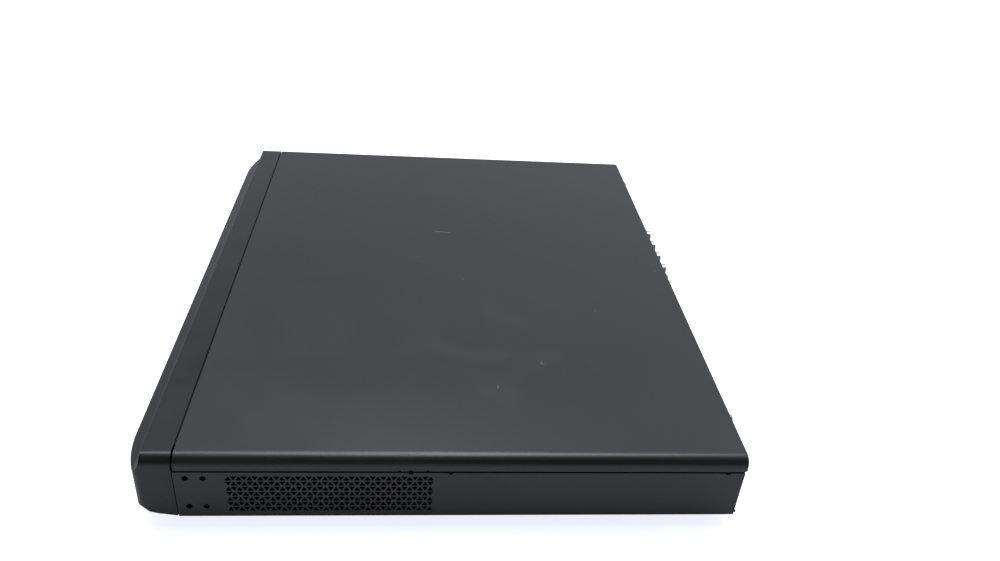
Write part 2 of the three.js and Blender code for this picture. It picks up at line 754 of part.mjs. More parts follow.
let socket = 0;
for (const z of BNC_ZS) {
  for (const x of BNC_XS) {
    socket += 1;
    add(`bnc_socket_${socket}`, bncSocket(), STEEL, [x, PANEL_FRONT, z]);
  }
}
const BLOCK_X = [BNC_XS[0] - 8.4, BNC_XS[3] + 8.4];
const BLOCK_Y = [268, PANEL_FRONT - 0.8];
add('video_input_block', block(BLOCK_X, BLOCK_Y, [ON_BOARD, 39.6]), PLASTIC);

add('audio_in_jack', phonoJack(), RED_JACK, [AUDIO_X, PANEL_FRONT, BNC_ZS[1]]);
add('audio_out_jack', phonoJack(), WHITE_JACK, [AUDIO_X, PANEL_FRONT, BNC_ZS[0]]);
add('vga_port', vgaPort(), STEEL, [VGA[0], PANEL_FRONT, VGA[1]]);
add('hdmi_port', shellPort(15, 5.8, 13, 1.4), STEEL, [HDMI[0], PANEL_BACK, HDMI[1]]);
add('network_port', networkPort(), STEEL, [NETWORK[0], PANEL_BACK, NETWORK[1]]);
add('rear_usb_port', rearUsbPort(), STEEL, [REAR_USB[0], PANEL_BACK, REAR_USB[1]]);
add('alarm_terminal', alarmTerminal(), GREEN_TERMINAL, [ALARM[0], PANEL_BACK, ALARM[1]]);
add('ground_screw', groundScrew(), STEEL, [GROUND[0], PANEL_BACK, GROUND[1]]);
add('power_inlet', powerInlet(), PLASTIC, [INLET_X, PANEL_FRONT, INLET_Z]);
add('switch_housing', switchHousing(), PLASTIC, [SWITCH_X, PANEL_FRONT, SWITCH_Z]);
const rocker = add('switch_rocker', switchRocker(), ROCKER_RED, [SWITCH_X, ROCKER_Y, SWITCH_Z]);
rocker.rotation.x = -ROCKER_TILT;

add('main_board', mainBoard(), GREEN_BOARD);
const CHIP_X = [FAN_X - 12, FAN_X + 12];
const CHIP_Y = [FAN_Y - 12, FAN_Y + 12];
add('processor', block(CHIP_X, CHIP_Y, [ON_BOARD, SINK_Z - CLEAR]), PLASTIC);
add('heat_sink', heatSink(), ALUMINIUM, [FAN_X, FAN_Y, SINK_Z]);
add('fan_frame', fanFrame(), PLASTIC, [FAN_X, FAN_Y, FAN_Z]);
add('fan_rotor', fanRotor(), PLASTIC, [FAN_X, FAN_Y, FAN_Z]);
add('coin_cell', rod([0, 0, 0], [0, 0, CELL_H], CELL_R, 20), STEEL, [120, 190, ON_BOARD]);

add('power_board', block(POWER_X, POWER_Y, [BOARD_Z, BOARD_TOP]), TAN_BOARD);
add('power_capacitor', rod([-162, 236, ON_BOARD], [-162, 236, 41], 11, 18), CAN_SLEEVE);
add('power_transformer', block([-150, -122], [196, 224], [ON_BOARD, 38]), YELLOW_TAPE);
add('power_heat_sink', powerHeatSink(), ALUMINIUM, [-118, 222, ON_BOARD]);

add('hard_drive', hardDrive(), DRIVE_METAL, [BAY_XS[0], DRIVE_Y, DRIVE_Z]);

const FRONT_BOARD_Y = [-16.4, -14.8];
const usbNotch = block([FRONT_USB_X - 7.2, FRONT_USB_X + 7.2], [-20, -10], [FRONT_Z - 3.4, FRONT_Z + 3.4]);
add('front_board', cut(block([-162, 164], FRONT_BOARD_Y, [14.6, 34.4]), usbNotch), GREEN_BOARD);
LIGHT_XS.forEach((x, i) => {
  const pipe = rod([x, -BEZEL_DEPTH + 0.1, FRONT_Z], [x, FRONT_BOARD_Y[0] - CLEAR, FRONT_Z], 1.6, 12);
  add(`status_light_${i + 1}`, pipe, LIGHT_PIPE);
});
const windowBody = block([REMOTE_X - 6, REMOTE_X + 6], [-24.9, -21], [FRONT_Z - 3, FRONT_Z + 3]);
add('remote_window', windowBody, DARK_WINDOW);
const frontUsb = shellPort(13.2, 5.8, 12, 2);
const usbMesh = add('front_usb_port', frontUsb, STEEL, [FRONT_USB_X, -BEZEL_DEPTH + 1.4, FRONT_Z]);
usbMesh.rotation.z = Math.PI;

const DATA_ROUTE = [
  [-104, 160, 16.2],
  [-104, 164, 17],
  [-98, 168, 23],
  [-80, 174, 25],
  [-60, 186, 25],
  [-50, 190, 23],
  [-50, 190, 17],
];
add('drive_data_cable', lead(DATA_ROUTE, roundSection(2, 8)), RED_CABLE);
const DRIVE_POWER_ROUTE = [
  [-130, 160, 16.2],
  [-130, 164, 18],
  [-128, 170, 24],
  [-119, 182, 26],
  [-118, 185, 23],
  [-118, 185, 17.2],
];
add('drive_power_cable', lead(DRIVE_POWER_ROUTE, roundSection(2.4, 8)), YELLOW_CABLE);
const BOARD_POWER_ROUTE = [
  [-106, 192, 16.8],
  [-106, 192, 22],
  [-101, 193, 25],
  [-90, 196, 25],
  [-84, 198, 22],
  [-84, 198, 16.8],
];
add('board_power_cable', lead(BOARD_POWER_ROUTE, roundSection(2, 8)), BLACK_CABLE);
const MAINS_ROUTE = [
  [-147, 260.8, 25],
  [-147, 257.4, 25],
  [-143, 254, 25],
  [-138, 251, 25],
  [-134, 246, 22],
  [-134, 246, 16.9],
];
add('mains_lead', lead(MAINS_ROUTE, roundSection(1.6, 8)), BROWN_CABLE);
const FRONT_ROUTE = [
  [115, 168, 16.9],
  [115, 164, 19],
  [115, 156, 14],
  [115, 146, 10.6],
  [115, 100, 10.2],
  [115, 40, 10.2],
  [115, 14, 10.6],
  [115, 6, 16.4],
  [115, 0, 17],
  [115, -10, 17],
  [115, -14.3, 17],
];
add('front_panel_cable', lead(FRONT_ROUTE, flatSection(14, 1)), GREY_RIBBON);

export default recorder;
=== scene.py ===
"""Looks of a low steel video recorder: folded case, moulded front, rear sockets and the electronics inside.

The helpers take millimetres, with Y counted from the seam between bezel and cover, and write metres in the
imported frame. Z is counted from the surface that the feet stand on.
"""
import math
import random

import bmesh
import bpy
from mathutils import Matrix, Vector


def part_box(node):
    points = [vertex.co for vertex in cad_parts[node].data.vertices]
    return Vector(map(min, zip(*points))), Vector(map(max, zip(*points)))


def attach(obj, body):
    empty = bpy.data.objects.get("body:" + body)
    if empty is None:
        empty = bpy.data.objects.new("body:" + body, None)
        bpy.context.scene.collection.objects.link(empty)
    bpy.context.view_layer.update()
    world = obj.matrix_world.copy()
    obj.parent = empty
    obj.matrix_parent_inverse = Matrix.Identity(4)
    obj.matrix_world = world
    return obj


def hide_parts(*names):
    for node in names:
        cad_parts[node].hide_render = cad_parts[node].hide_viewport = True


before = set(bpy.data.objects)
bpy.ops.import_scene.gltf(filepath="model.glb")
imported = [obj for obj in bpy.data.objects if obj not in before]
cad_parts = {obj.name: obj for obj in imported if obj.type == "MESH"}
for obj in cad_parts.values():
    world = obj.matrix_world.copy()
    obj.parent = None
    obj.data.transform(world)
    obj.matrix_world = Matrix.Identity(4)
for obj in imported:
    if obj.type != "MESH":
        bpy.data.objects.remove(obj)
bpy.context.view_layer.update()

MM = 0.001

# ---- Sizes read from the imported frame, in millimetres ----
COVER_LOW, COVER_HIGH = (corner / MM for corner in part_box("top_cover"))
BASE_LOW, BASE_HIGH = (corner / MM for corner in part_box("chassis_base"))
BEZEL_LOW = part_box("front_bezel")[0] / MM
PANEL_LOW, PANEL_HIGH = (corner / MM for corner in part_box("rear_panel"))
SEAM_GAP = 1.0
SEAM_Y = COVER_LOW.y - SEAM_GAP / 2
HALF = COVER_HIGH.x
TOP = COVER_HIGH.z
BOTTOM = BASE_LOW.z
SHEET = PANEL_HIGH.y - PANEL_LOW.y
COVER_EDGE_Z = COVER_LOW.z
WALL_TOP = COVER_EDGE_Z - SEAM_GAP
COVER_REAR = COVER_HIGH.y - SEAM_Y
CHASSIS_REAR = BASE_HIGH.y - SEAM_Y
PANEL_FRONT = PANEL_LOW.y - SEAM_Y
PANEL_BACK = PANEL_HIGH.y - SEAM_Y
BEZEL_FRONT = BEZEL_LOW.y - SEAM_Y
FLOOR = BOTTOM + SHEET
COVER_BEND = 6.0
CHASSIS_BEND = 1.5
LIP_X = HALF - SHEET - 0.4

rng = random.Random(7)


# ---- Solids ----
def point(x, y, z):
    return Vector((x, y + SEAM_Y, z)) * MM


def node_box(name):
    """A CAD node's corners in this file's millimetres."""
    low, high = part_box(name)
    shift = Vector((0, SEAM_Y, 0))
    return low / MM - shift, high / MM - shift


def mesh_object(name, verts, faces):
    mesh = bpy.data.meshes.new(name)
    mesh.from_pydata([point(*v) for v in verts], [], faces)
    work = bmesh.new()
    work.from_mesh(mesh)
    bmesh.ops.remove_doubles(work, verts=work.verts, dist=1e-7)
    bmesh.ops.recalc_face_normals(work, faces=work.faces)
    work.to_mesh(mesh)
    work.free()
    obj = bpy.data.objects.new(name, mesh)
    bpy.context.scene.collection.objects.link(obj)
    return obj


def loft_data(rings):
    """Vertices and faces of a closed solid through rings of as many points each."""
    count = len(rings[0])
    verts = [corner for ring in rings for corner in ring]
    faces = []
    for r in range(len(rings) - 1):
        for i in range(count):
            j = (i + 1) % count
            faces.append((r * count + i, r * count + j, (r + 1) * count + j, (r + 1) * count + i))
    faces.append(tuple(reversed(range(count))))
    faces.append(tuple(range((len(rings) - 1) * count, len(rings) * count)))
    return verts, faces


def merged(name, solids):
    """One object of several separate solids, each (verts, faces)."""
    all_verts, all_faces = [], []
    for verts, faces in solids:
        start = len(all_verts)
        all_verts += verts
        all_faces += [tuple(i + start for i in face) for face in faces]
    return mesh_object(name, all_verts, all_faces)


def spread(axis, along, a, b):
    """A point from its place along an axis and its two other coordinates, in X, Y, Z order."""
    return {"X": (along, a, b), "Y": (a, along, b), "Z": (a, b, along)}[axis]


def prism(outline, axis, low, high):
    return loft_data([[spread(axis, along, a, b) for a, b in outline] for along in (low, high)])


def block(xs, ys, zs):
    return prism([(xs[0], ys[0]), (xs[1], ys[0]), (xs[1], ys[1]), (xs[0], ys[1])], "Z", *zs)


def turned(profile, centre, axis="Y", segments=40):
    """A solid turned about an axis through centre, from a profile of (radius, distance along it)."""
    order = {"X": (0, 1, 2), "Y": (1, 0, 2), "Z": (2, 0, 1)}[axis]
    rings = []
    for radius, along in profile:
        ring = []
        for i in range(segments):
            angle = 2 * math.pi * i / segments
            a = centre[order[1]] + max(radius, 0.01) * math.cos(angle)
            b = centre[order[2]] + max(radius, 0.01) * math.sin(angle)
            ring.append(spread(axis, centre[order[0]] + along, a, b))
        rings.append(ring)
    return loft_data(rings)


def hoop(profile, centre, axis="Y", segments=40):
    """A ring turned about an axis through centre, from a closed profile of (radius, distance along it)."""
    verts, faces = turned(profile, centre, axis, segments)
    faces = faces[:-2]
    last = (len(profile) - 1) * segments
    for i in range(segments):
        j = (i + 1) % segments
        faces.append((last + i, last + j, j, i))
    return verts, faces


def rod(centre, axis, low, high, radius, segments=32):
    origin = tuple(0 if letter == axis else c for letter, c in zip("XYZ", centre))
    return turned([(radius, low), (radius, high)], origin, axis, segments)


def arc(cx, cy, radius, start, end, steps):
    angles = [math.radians(start + (end - start) * i / steps) for i in range(steps + 1)]
    return [(cx + radius * math.cos(a), cy + radius * math.sin(a)) for a in angles]


def rounded_box(xs, ys, radius, steps=4):
    corners = [(xs[1] - radius, ys[0] + radius, -90), (xs[1] - radius, ys[1] - radius, 0),
               (xs[0] + radius, ys[1] - radius, 90), (xs[0] + radius, ys[0] + radius, 180)]
    return [p for cx, cy, start in corners for p in arc(cx, cy, radius, start, start + 90, steps)]


def mirrored(outline):
    return outline + [(-a, b) for a, b in reversed(outline)]


def bake(obj):
    """Applies an object's modifiers to its mesh."""
    graph = bpy.context.evaluated_depsgraph_get()
    mesh = bpy.data.meshes.new_from_object(obj.evaluated_get(graph))
    obj.modifiers.clear()
    obj.data = mesh


def combine(obj, solids, operation="DIFFERENCE"):
    """Cuts separate solids out of an object, or adds them to it."""
    tool = merged("tool", solids)
    step = obj.modifiers.new("combine", "BOOLEAN")
    step.object = tool
    step.operation = operation
    step.solver = "MANIFOLD"
    bake(obj)
    bpy.data.objects.remove(tool)
    return obj


def dress(obj, finish, body, edge=0.3, segments=2, angle=32, stands_for=(), slot=None):
    """Rounds an object's edges, gives it its finish and hangs it on its body."""
    obj.data.materials.clear()
    obj.data.materials.append(finish)
    obj.data.shade_smooth()
    if edge:
        bevel = obj.modifiers.new("edges", "BEVEL")
        bevel.width = edge * MM
        bevel.segments = segments
        bevel.limit_method = "ANGLE"
        bevel.angle_limit = math.radians(angle)
        bevel.use_clamp_overlap = True
        bevel.miter_outer = "MITER_ARC"
    normals = obj.modifiers.new("normals", "WEIGHTED_NORMAL")
    normals.keep_sharp = True
    normals.weight = 50
    obj.data.set_sharp_from_angle(angle=math.radians(angle if not edge else 60))
    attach(obj, body)
    if stands_for:
        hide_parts(*stands_for)
    return obj


def solid(name, data, finish, body="case", **details):
    """A dressed object of one solid or a list of them."""
    solids = data if isinstance(data, list) else [data]
    return dress(merged(name, solids), finish, body, **details)


# ---- Finishes ----
COAT_SHINE = 0.5
COAT_ROUGHNESS = 0.34
COVER_MARKS = (((-48.4, 134.9), 80.5, 6.7, 0.28, 0.003), ((-48.0, 137.4), 79, 3.8, 0.32, 0.0),
               ((107.9, 190.9), 20, 1.8, 0.2, 0.35), ((130.0, 163.7), 176, 1.6, 0.16, 0.05))


class Graph:
    """A node tree and the few kinds of node that the finishes are made of."""

    def __init__(self, tree):
        self.tree = tree

    def node(self, kind, **settings):
        made = self.tree.nodes.new(kind)
        for key, value in settings.items():
            setattr(made, key, value)
        return made

    def link(self, out, into):
        self.tree.links.new(out, into)

    def feed(self, socket, value):
        if isinstance(value, (int, float)):
            socket.default_value = value
        elif isinstance(value, tuple):
            socket.default_value = (*value, 1)
        else:
            self.link(value, socket)

    def span(self, value, low, high, to_low=0.0, to_high=1.0):
        made = self.node("ShaderNodeMapRange", clamp=True)
        self.link(value, made.inputs["Value"])
        for socket, number in (("From Min", low), ("From Max", high), ("To Min", to_low),
                               ("To Max", to_high)):
            made.inputs[socket].default_value = number
        return made.outputs["Result"]

    def maths(self, operation, a, b):
        made = self.node("ShaderNodeMath", operation=operation)
        self.feed(made.inputs[0], a)
        self.feed(made.inputs[1], b)
        return made.outputs["Value"]

    def mixed(self, factor, first, second):
        made = self.node("ShaderNodeMix", data_type="RGBA")
        factor_in, first_in, second_in = made.inputs[0], made.inputs[6], made.inputs[7]
        result = made.outputs[2]
        self.feed(factor_in, factor)
        self.feed(first_in, first)
        self.feed(second_in, second)
        return result


class Finish(Graph):
    """A procedural material, built node by node."""

    def __init__(self, name, colour, roughness, metallic=0.0, **sockets):
        self.made = bpy.data.materials.new(name)
        self.made.use_nodes = True
        super().__init__(self.made.node_tree)
        self.surface = self.tree.nodes["Principled BSDF"]
        self.surface.inputs["Base Color"].default_value = (*colour, 1)
        self.surface.inputs["Roughness"].default_value = roughness
        self.surface.inputs["Metallic"].default_value = metallic
        for socket, value in sockets.items():
            self.surface.inputs[socket.replace("_", " ")].default_value = value
        self.place = self.node("ShaderNodeTexCoord").outputs["Object"]
        self.relief = None

    def stretched(self, x, y, z):
        mapping = self.node("ShaderNodeMapping")
        mapping.inputs["Scale"].default_value = (x, y, z)
        self.link(self.place, mapping.inputs["Vector"])
        return mapping.outputs["Vector"]

    def noise(self, scale, detail=2.0, roughness=0.5, distortion=0.0, place=None):
        made = self.node("ShaderNodeTexNoise")
        self.link(place or self.place, made.inputs["Vector"])
        for socket, value in (("Scale", scale), ("Detail", detail), ("Roughness", roughness),
                              ("Distortion", distortion)):
            made.inputs[socket].default_value = value
        return made.outputs["Fac"]

    def cells(self, scale, feature="F1", place=None):
        made = self.node("ShaderNodeTexVoronoi", feature=feature)
        self.link(place or self.place, made.inputs["Vector"])
        made.inputs["Scale"].default_value = scale
        return made

    def colour(self, out):
        self.link(out, self.surface.inputs["Base Color"])

    def gloss(self, out):
        self.link(out, self.surface.inputs["Roughness"])

    def bump(self, height, depth):
        """Adds relief: height runs 0 to 1 and depth is its size in millimetres."""
        made = self.node("ShaderNodeBump")
        made.inputs["Strength"].default_value = 1.0
        made.inputs["Distance"].default_value = depth * MM
        self.link(height, made.inputs["Height"])
        if self.relief is not None:
            self.link(self.relief, made.inputs["Normal"])
        self.relief = made.outputs["Normal"]
        self.link(self.relief, self.surface.inputs["Normal"])
        return self


def hairline(finish, centre, angle, half_length, half_width, bow):
    """Where a thin bowed mark lies on a level surface: 1 on it and 0 beside it."""
    shifted = finish.node("ShaderNodeVectorMath", operation="SUBTRACT")
    finish.link(finish.place, shifted.inputs[0])
    shifted.inputs[1].default_value = point(*centre, TOP)
    turned_back = finish.node("ShaderNodeVectorRotate", rotation_type="Z_AXIS")
    finish.link(shifted.outputs["Vector"], turned_back.inputs["Vector"])
    turned_back.inputs["Angle"].default_value = -math.radians(angle)
    parts = finish.node("ShaderNodeSeparateXYZ")
    finish.link(turned_back.outputs["Vector"], parts.inputs["Vector"])
    along, across = parts.outputs["X"], parts.outputs["Y"]
    curve = finish.maths("MULTIPLY", finish.maths("MULTIPLY", along, along), bow / MM)
    off = finish.maths("ABSOLUTE", finish.maths("SUBTRACT", across, curve), 0.0)
    near = finish.span(off, half_width * MM * 0.5, half_width * MM * 1.4, 1, 0)
    within = finish.span(finish.maths("ABSOLUTE", along, 0.0), half_length * MM * 0.9, half_length * MM,
                         1, 0)
    level = finish.span(finish.maths("ABSOLUTE", parts.outputs["Z"], 0.0), 0.0004, 0.0006, 1, 0)
    return finish.maths("MULTIPLY", finish.maths("MULTIPLY", near, within), level)


def powder_coat():
    """Black powder coat: fine orange peel, dust, and finger smudges that are duller or shinier."""
    finish = Finish("painted_steel", (0.007, 0.0073, 0.0082), 0.3, Specular_IOR_Level=COAT_SHINE)
    peel = finish.noise(1500, 3, 0.6)
    finish.bump(peel, 0.012)
    finish.bump(finish.noise(330, 2, 0.5), 0.01)
    smudge = finish.noise(16, 4, 0.55, 1.4)
    broad = finish.noise(5, 2, 0.5, 0.6)
    patches = finish.maths("ADD", finish.span(smudge, 0.5, 0.78, 0, 0.07),
                           finish.span(broad, 0.3, 0.7, -0.02, 0.035))
    finish.gloss(finish.maths("ADD", finish.maths("ADD", patches, COAT_ROUGHNESS),
                              finish.span(peel, 0.3, 0.7, -0.03, 0.03)))
    speck = finish.cells(95)
    rare = finish.span(speck.outputs["Color"], 0.87, 0.88)
    dust = finish.maths("MULTIPLY", finish.span(speck.outputs["Distance"], 0.024, 0.042, 1, 0), rare)
    tint = finish.mixed(finish.span(broad, 0.3, 0.7), (0.0076, 0.0077, 0.009), (0.0096, 0.0097, 0.0111))
    marks = dust
    for mark in COVER_MARKS:
        marks = finish.maths("MAXIMUM", marks, hairline(finish, *mark))
    finish.colour(finish.mixed(marks, tint, (0.14, 0.14, 0.14)))
    return finish.made


def moulded(name, colour, roughness=0.5, grain=1800, depth=0.014, shine=0.5):
    """Moulded plastic with a spark-eroded grain and a slight unevenness of gloss."""
    finish = Finish(name, colour, roughness, Specular_IOR_Level=shine)
    finish.bump(finish.noise(grain, 3, 0.6), depth)
    patch = finish.noise(28, 3, 0.5, 0.8)
    finish.gloss(finish.span(patch, 0.3, 0.7, roughness - 0.04, roughness + 0.05))
    lighter = tuple(min(1, c * 1.25 + 0.0008) for c in colour)
    finish.colour(finish.mixed(finish.span(patch, 0.35, 0.65), colour, lighter))
    return finish.made


def metal(name, colour, roughness=0.3, brushed=(1, 1, 1), grain=900):
    """Bare or plated metal, with brushing drawn out along one axis and faint tarnish."""
    finish = Finish(name, colour, roughness, 1.0)
    line = finish.noise(grain, 3, 0.6, 0, finish.stretched(*brushed))
    stain = finish.noise(60, 3, 0.6, 0.5)
    finish.bump(line, 0.004)
    finish.gloss(finish.maths("ADD", finish.span(line, 0.3, 0.7, roughness - 0.06, roughness + 0.06),
                              finish.span(stain, 0.5, 0.75, 0, 0.12)))
    duller = tuple(c * 0.78 for c in colour)
    finish.colour(finish.mixed(finish.span(stain, 0.45, 0.8), colour, duller))
    return finish.made


def circuit_board(name, mask, copper):
    """Solder mask over traces that run in steps, with small plated vias."""
    finish = Finish(name, mask, 0.32, 0.0, Specular_IOR_Level=0.55)
    runs = finish.node("ShaderNodeTexBrick", offset=0.35, squash=0.6, squash_frequency=3)
    finish.link(finish.stretched(1, 1, 0), runs.inputs["Vector"])
    for socket, value in (("Scale", 160.0), ("Mortar Size", 0.035), ("Brick Width", 1.4),
                          ("Row Height", 0.3)):
        runs.inputs[socket].default_value = value
    trace = runs.outputs["Fac"]
    zone = finish.span(finish.noise(45, 1, 0.4), 0.47, 0.5)
    drawn = finish.maths("MULTIPLY", trace, zone)
    via = finish.cells(210)
    dot = finish.maths("MULTIPLY", finish.span(via.outputs["Distance"], 0.1, 0.12, 1, 0),
                       finish.span(via.outputs["Color"], 0.6, 0.61))
    under = finish.mixed(drawn, mask, copper)
    finish.colour(finish.mixed(dot, under, (0.5, 0.47, 0.36)))
    finish.bump(drawn, 0.03)
    finish.gloss(finish.span(finish.noise(120, 2), 0.3, 0.7, 0.26, 0.42))
    return finish.made


def jacket(name, colour, roughness=0.45):
    """Flexible cable jacket, slightly mottled."""
    finish = Finish(name, colour, roughness)
    finish.bump(finish.noise(700, 2), 0.01)
    finish.gloss(finish.span(finish.noise(90, 2), 0.3, 0.7, roughness - 0.07, roughness + 0.08))
    return finish.made


def clear_plastic(name, colour, transmission):
    finish = Finish(name, colour, 0.08, 0.0, Transmission_Weight=transmission, IOR=1.49)
    finish.bump(finish.noise(300, 2), 0.004)
    finish.gloss(finish.span(finish.noise(60, 2), 0.3, 0.7, 0.05, 0.13))
    return finish.made


PAINT = powder_coat()
BEZEL_PLASTIC = moulded("bezel_plastic", (0.0065, 0.0067, 0.0073), 0.27, shine=0.41)
BLACK_PLASTIC = moulded("black_plastic", (0.012, 0.012, 0.013), 0.45, 1200, 0.01)
RED_PLASTIC = moulded("red_plastic", (0.36, 0.012, 0.012), 0.35, 900, 0.006)
WHITE_PLASTIC = moulded("white_plastic", (0.72, 0.71, 0.66), 0.38, 900, 0.006)
GREEN_PLASTIC = moulded("green_plastic", (0.02, 0.16, 0.055), 0.4, 900, 0.008)
CHIP = moulded("chip_plastic", (0.018, 0.018, 0.019), 0.55, 2600, 0.012)
IVORY = moulded("ivory_plastic", (0.6, 0.56, 0.46), 0.45, 900, 0.008)
BLUE_PLASTIC = moulded("blue_plastic", (0.015, 0.05, 0.3), 0.42, 900, 0.008)
RUBBER = moulded("foot_rubber", (0.012, 0.012, 0.012), 0.72, 700, 0.03)
TAPE = moulded("yellow_tape", (0.62, 0.42, 0.05), 0.28, 250, 0.02)
SLEEVE = moulded("capacitor_sleeve", (0.012, 0.014, 0.022), 0.3, 400, 0.006)
NICKEL = metal("plated_steel", (0.66, 0.65, 0.62), 0.26, (1, 6, 1))
# Plated steel darkened to paint shade: the nuts in the ear holes take it so the holes read as shaded.
SHADE_DARKENED_STEEL = metal("shade_darkened_steel", (0.16, 0.16, 0.165), 0.42)
GOLD = metal("gold_contact", (0.83, 0.6, 0.25), 0.25)
COPPER = metal("copper_wire", (0.75, 0.36, 0.2), 0.3, (1, 1, 8))
ALUMINIUM = metal("bare_aluminium", (0.66, 0.67, 0.69), 0.36, (1, 1, 12))
CASTING = metal("drive_casting", (0.5, 0.51, 0.52), 0.45, (1, 1, 1), 420)
DRIVE_LID = metal("drive_lid", (0.62, 0.63, 0.64), 0.3, (14, 1, 1))
CERAMIC = moulded("ceramic_body", (0.28, 0.17, 0.08), 0.4, 900, 0.004)
FERRITE = moulded("ferrite", (0.045, 0.045, 0.048), 0.6, 600, 0.02)
CLEAR_GLASS = clear_plastic("fuse_glass", (0.95, 0.97, 0.96), 0.95)
BOARD = circuit_board("circuit_board", (0.006, 0.05, 0.022), (0.012, 0.1, 0.04))
PHENOLIC = circuit_board("phenolic_board", (0.24, 0.14, 0.05), (0.3, 0.19, 0.075))
RED_JACKET = jacket("red_cable", (0.34, 0.01, 0.01))
YELLOW_JACKET = jacket("yellow_cable", (0.6, 0.38, 0.02))
BLACK_JACKET = jacket("black_cable", (0.012, 0.012, 0.013))
BROWN_JACKET = jacket("brown_cable", (0.12, 0.04, 0.018))
BLUE_JACKET = jacket("blue_cable", (0.02, 0.09, 0.4))
RIBBON = jacket("grey_ribbon", (0.36, 0.37, 0.38), 0.5)
LIGHT_PIPE = clear_plastic("light_pipe", (0.85, 0.95, 0.9), 0.8)
DARK_WINDOW = clear_plastic("dark_window", (0.02, 0.003, 0.005), 0.2)


# ---- Case ----
VENT_ROWS = 7
VENT_COLUMNS = 39
VENT_PITCH = 5.27
VENT_ROW_PITCH = 3.53
VENT_FIRST_Y = 26.2
VENT_FIRST_Z = 14.13
VENT_BASE = 3.35
VENT_HEIGHT = 2.78
VENT_CORNER = 0.28
EAR_HOLE_YS = (5.7, 14.2)
EAR_HOLE_ZS = (16.0, 35.3)
EAR_HOLE_R = 1.62
SEAM_BITES_UP = ((110.6, 1.4, 0.8), (116.3, 2.2, 1.0), (124.8, 1.6, 0.8))
SEAM_BITES_DOWN = ((116.3, 2.2, 1.0), (136.5, 2.0, 1.0), (281.3, 2.7, 0.9))
COVER_SCREW_XS = (-150, 0, 150)
SCREW_LOW, SCREW_HIGH = node_box("cover_screw_left")
COVER_SCREW_Z = (SCREW_LOW.z + SCREW_HIGH.z) / 2


def soft_triangle(y, z, upward):
    """A triangle with rounded corners in the side wall's plane."""
    sign = 1 if upward else -1
    corners = [(-VENT_BASE / 2, -VENT_HEIGHT / 2), (VENT_BASE / 2, -VENT_HEIGHT / 2), (0, VENT_HEIGHT / 2)]
    outline = []
    for i, corner in enumerate(corners):
        here = Vector(corner)
        before = (Vector(corners[i - 1]) - here).normalized() * VENT_CORNER
        after = (Vector(corners[(i + 1) % 3]) - here).normalized() * VENT_CORNER
        middle = here + (before + after) * 0.32
        outline += [here + before, middle, here + after]
    return [(y + p.x, z + sign * p.y) for p in outline]


def vent_tools():
    tools = []
    for row in range(VENT_ROWS):
        z = VENT_FIRST_Z + row * VENT_ROW_PITCH
        for column in range(VENT_COLUMNS):
            y = VENT_FIRST_Y + column * VENT_PITCH / 2
            upward = (row + column) % 2 == 0
            for low, high in ((HALF - 3, HALF + 1), (-HALF - 1, -HALF + 3)):
                tools.append(prism(soft_triangle(y, z, upward), "X", low, high))
    return tools


def tray_outline():
    bend = CHASSIS_BEND
    half = [(0, BOTTOM)]
    half += arc(HALF - bend, BOTTOM + bend, bend, -90, 0, 8)
    half += [(HALF, WALL_TOP), (LIP_X, WALL_TOP), (LIP_X, WALL_TOP + 3.4), (LIP_X - SHEET, WALL_TOP + 3.4)]
    half += [(LIP_X - SHEET, WALL_TOP - SHEET), (HALF - SHEET, WALL_TOP - SHEET)]
    half += arc(HALF - bend, BOTTOM + bend, bend - SHEET, 0, -90, 4)
    half += [(0, FLOOR)]
    left = [(-x, z) for x, z in reversed(half[1:-1])]
    return half + left


def both_sides(xs, ys, zs):
    return [block(xs, ys, zs), block((-xs[1], -xs[0]), ys, zs)]


MAIN_POSTS = ((-88, 172), (40, 172), (170, 172), (-12, 262), (88, 250), (170, 262))
POWER_POSTS = ((-176, 184), (-106, 184), (-176, 250), (-106, 250))
BAY_XS = (-172, -56)
BAY_WIDTH = 101.6
DRIVE_HOLE_INSET = 3.2
DRIVE_HOLE_YS = (53.3, 97.7)


def drive_holes(bays=BAY_XS):
    return [(x + inset, y) for x in bays for inset in (DRIVE_HOLE_INSET, BAY_WIDTH - DRIVE_HOLE_INSET)
            for y in DRIVE_HOLE_YS]


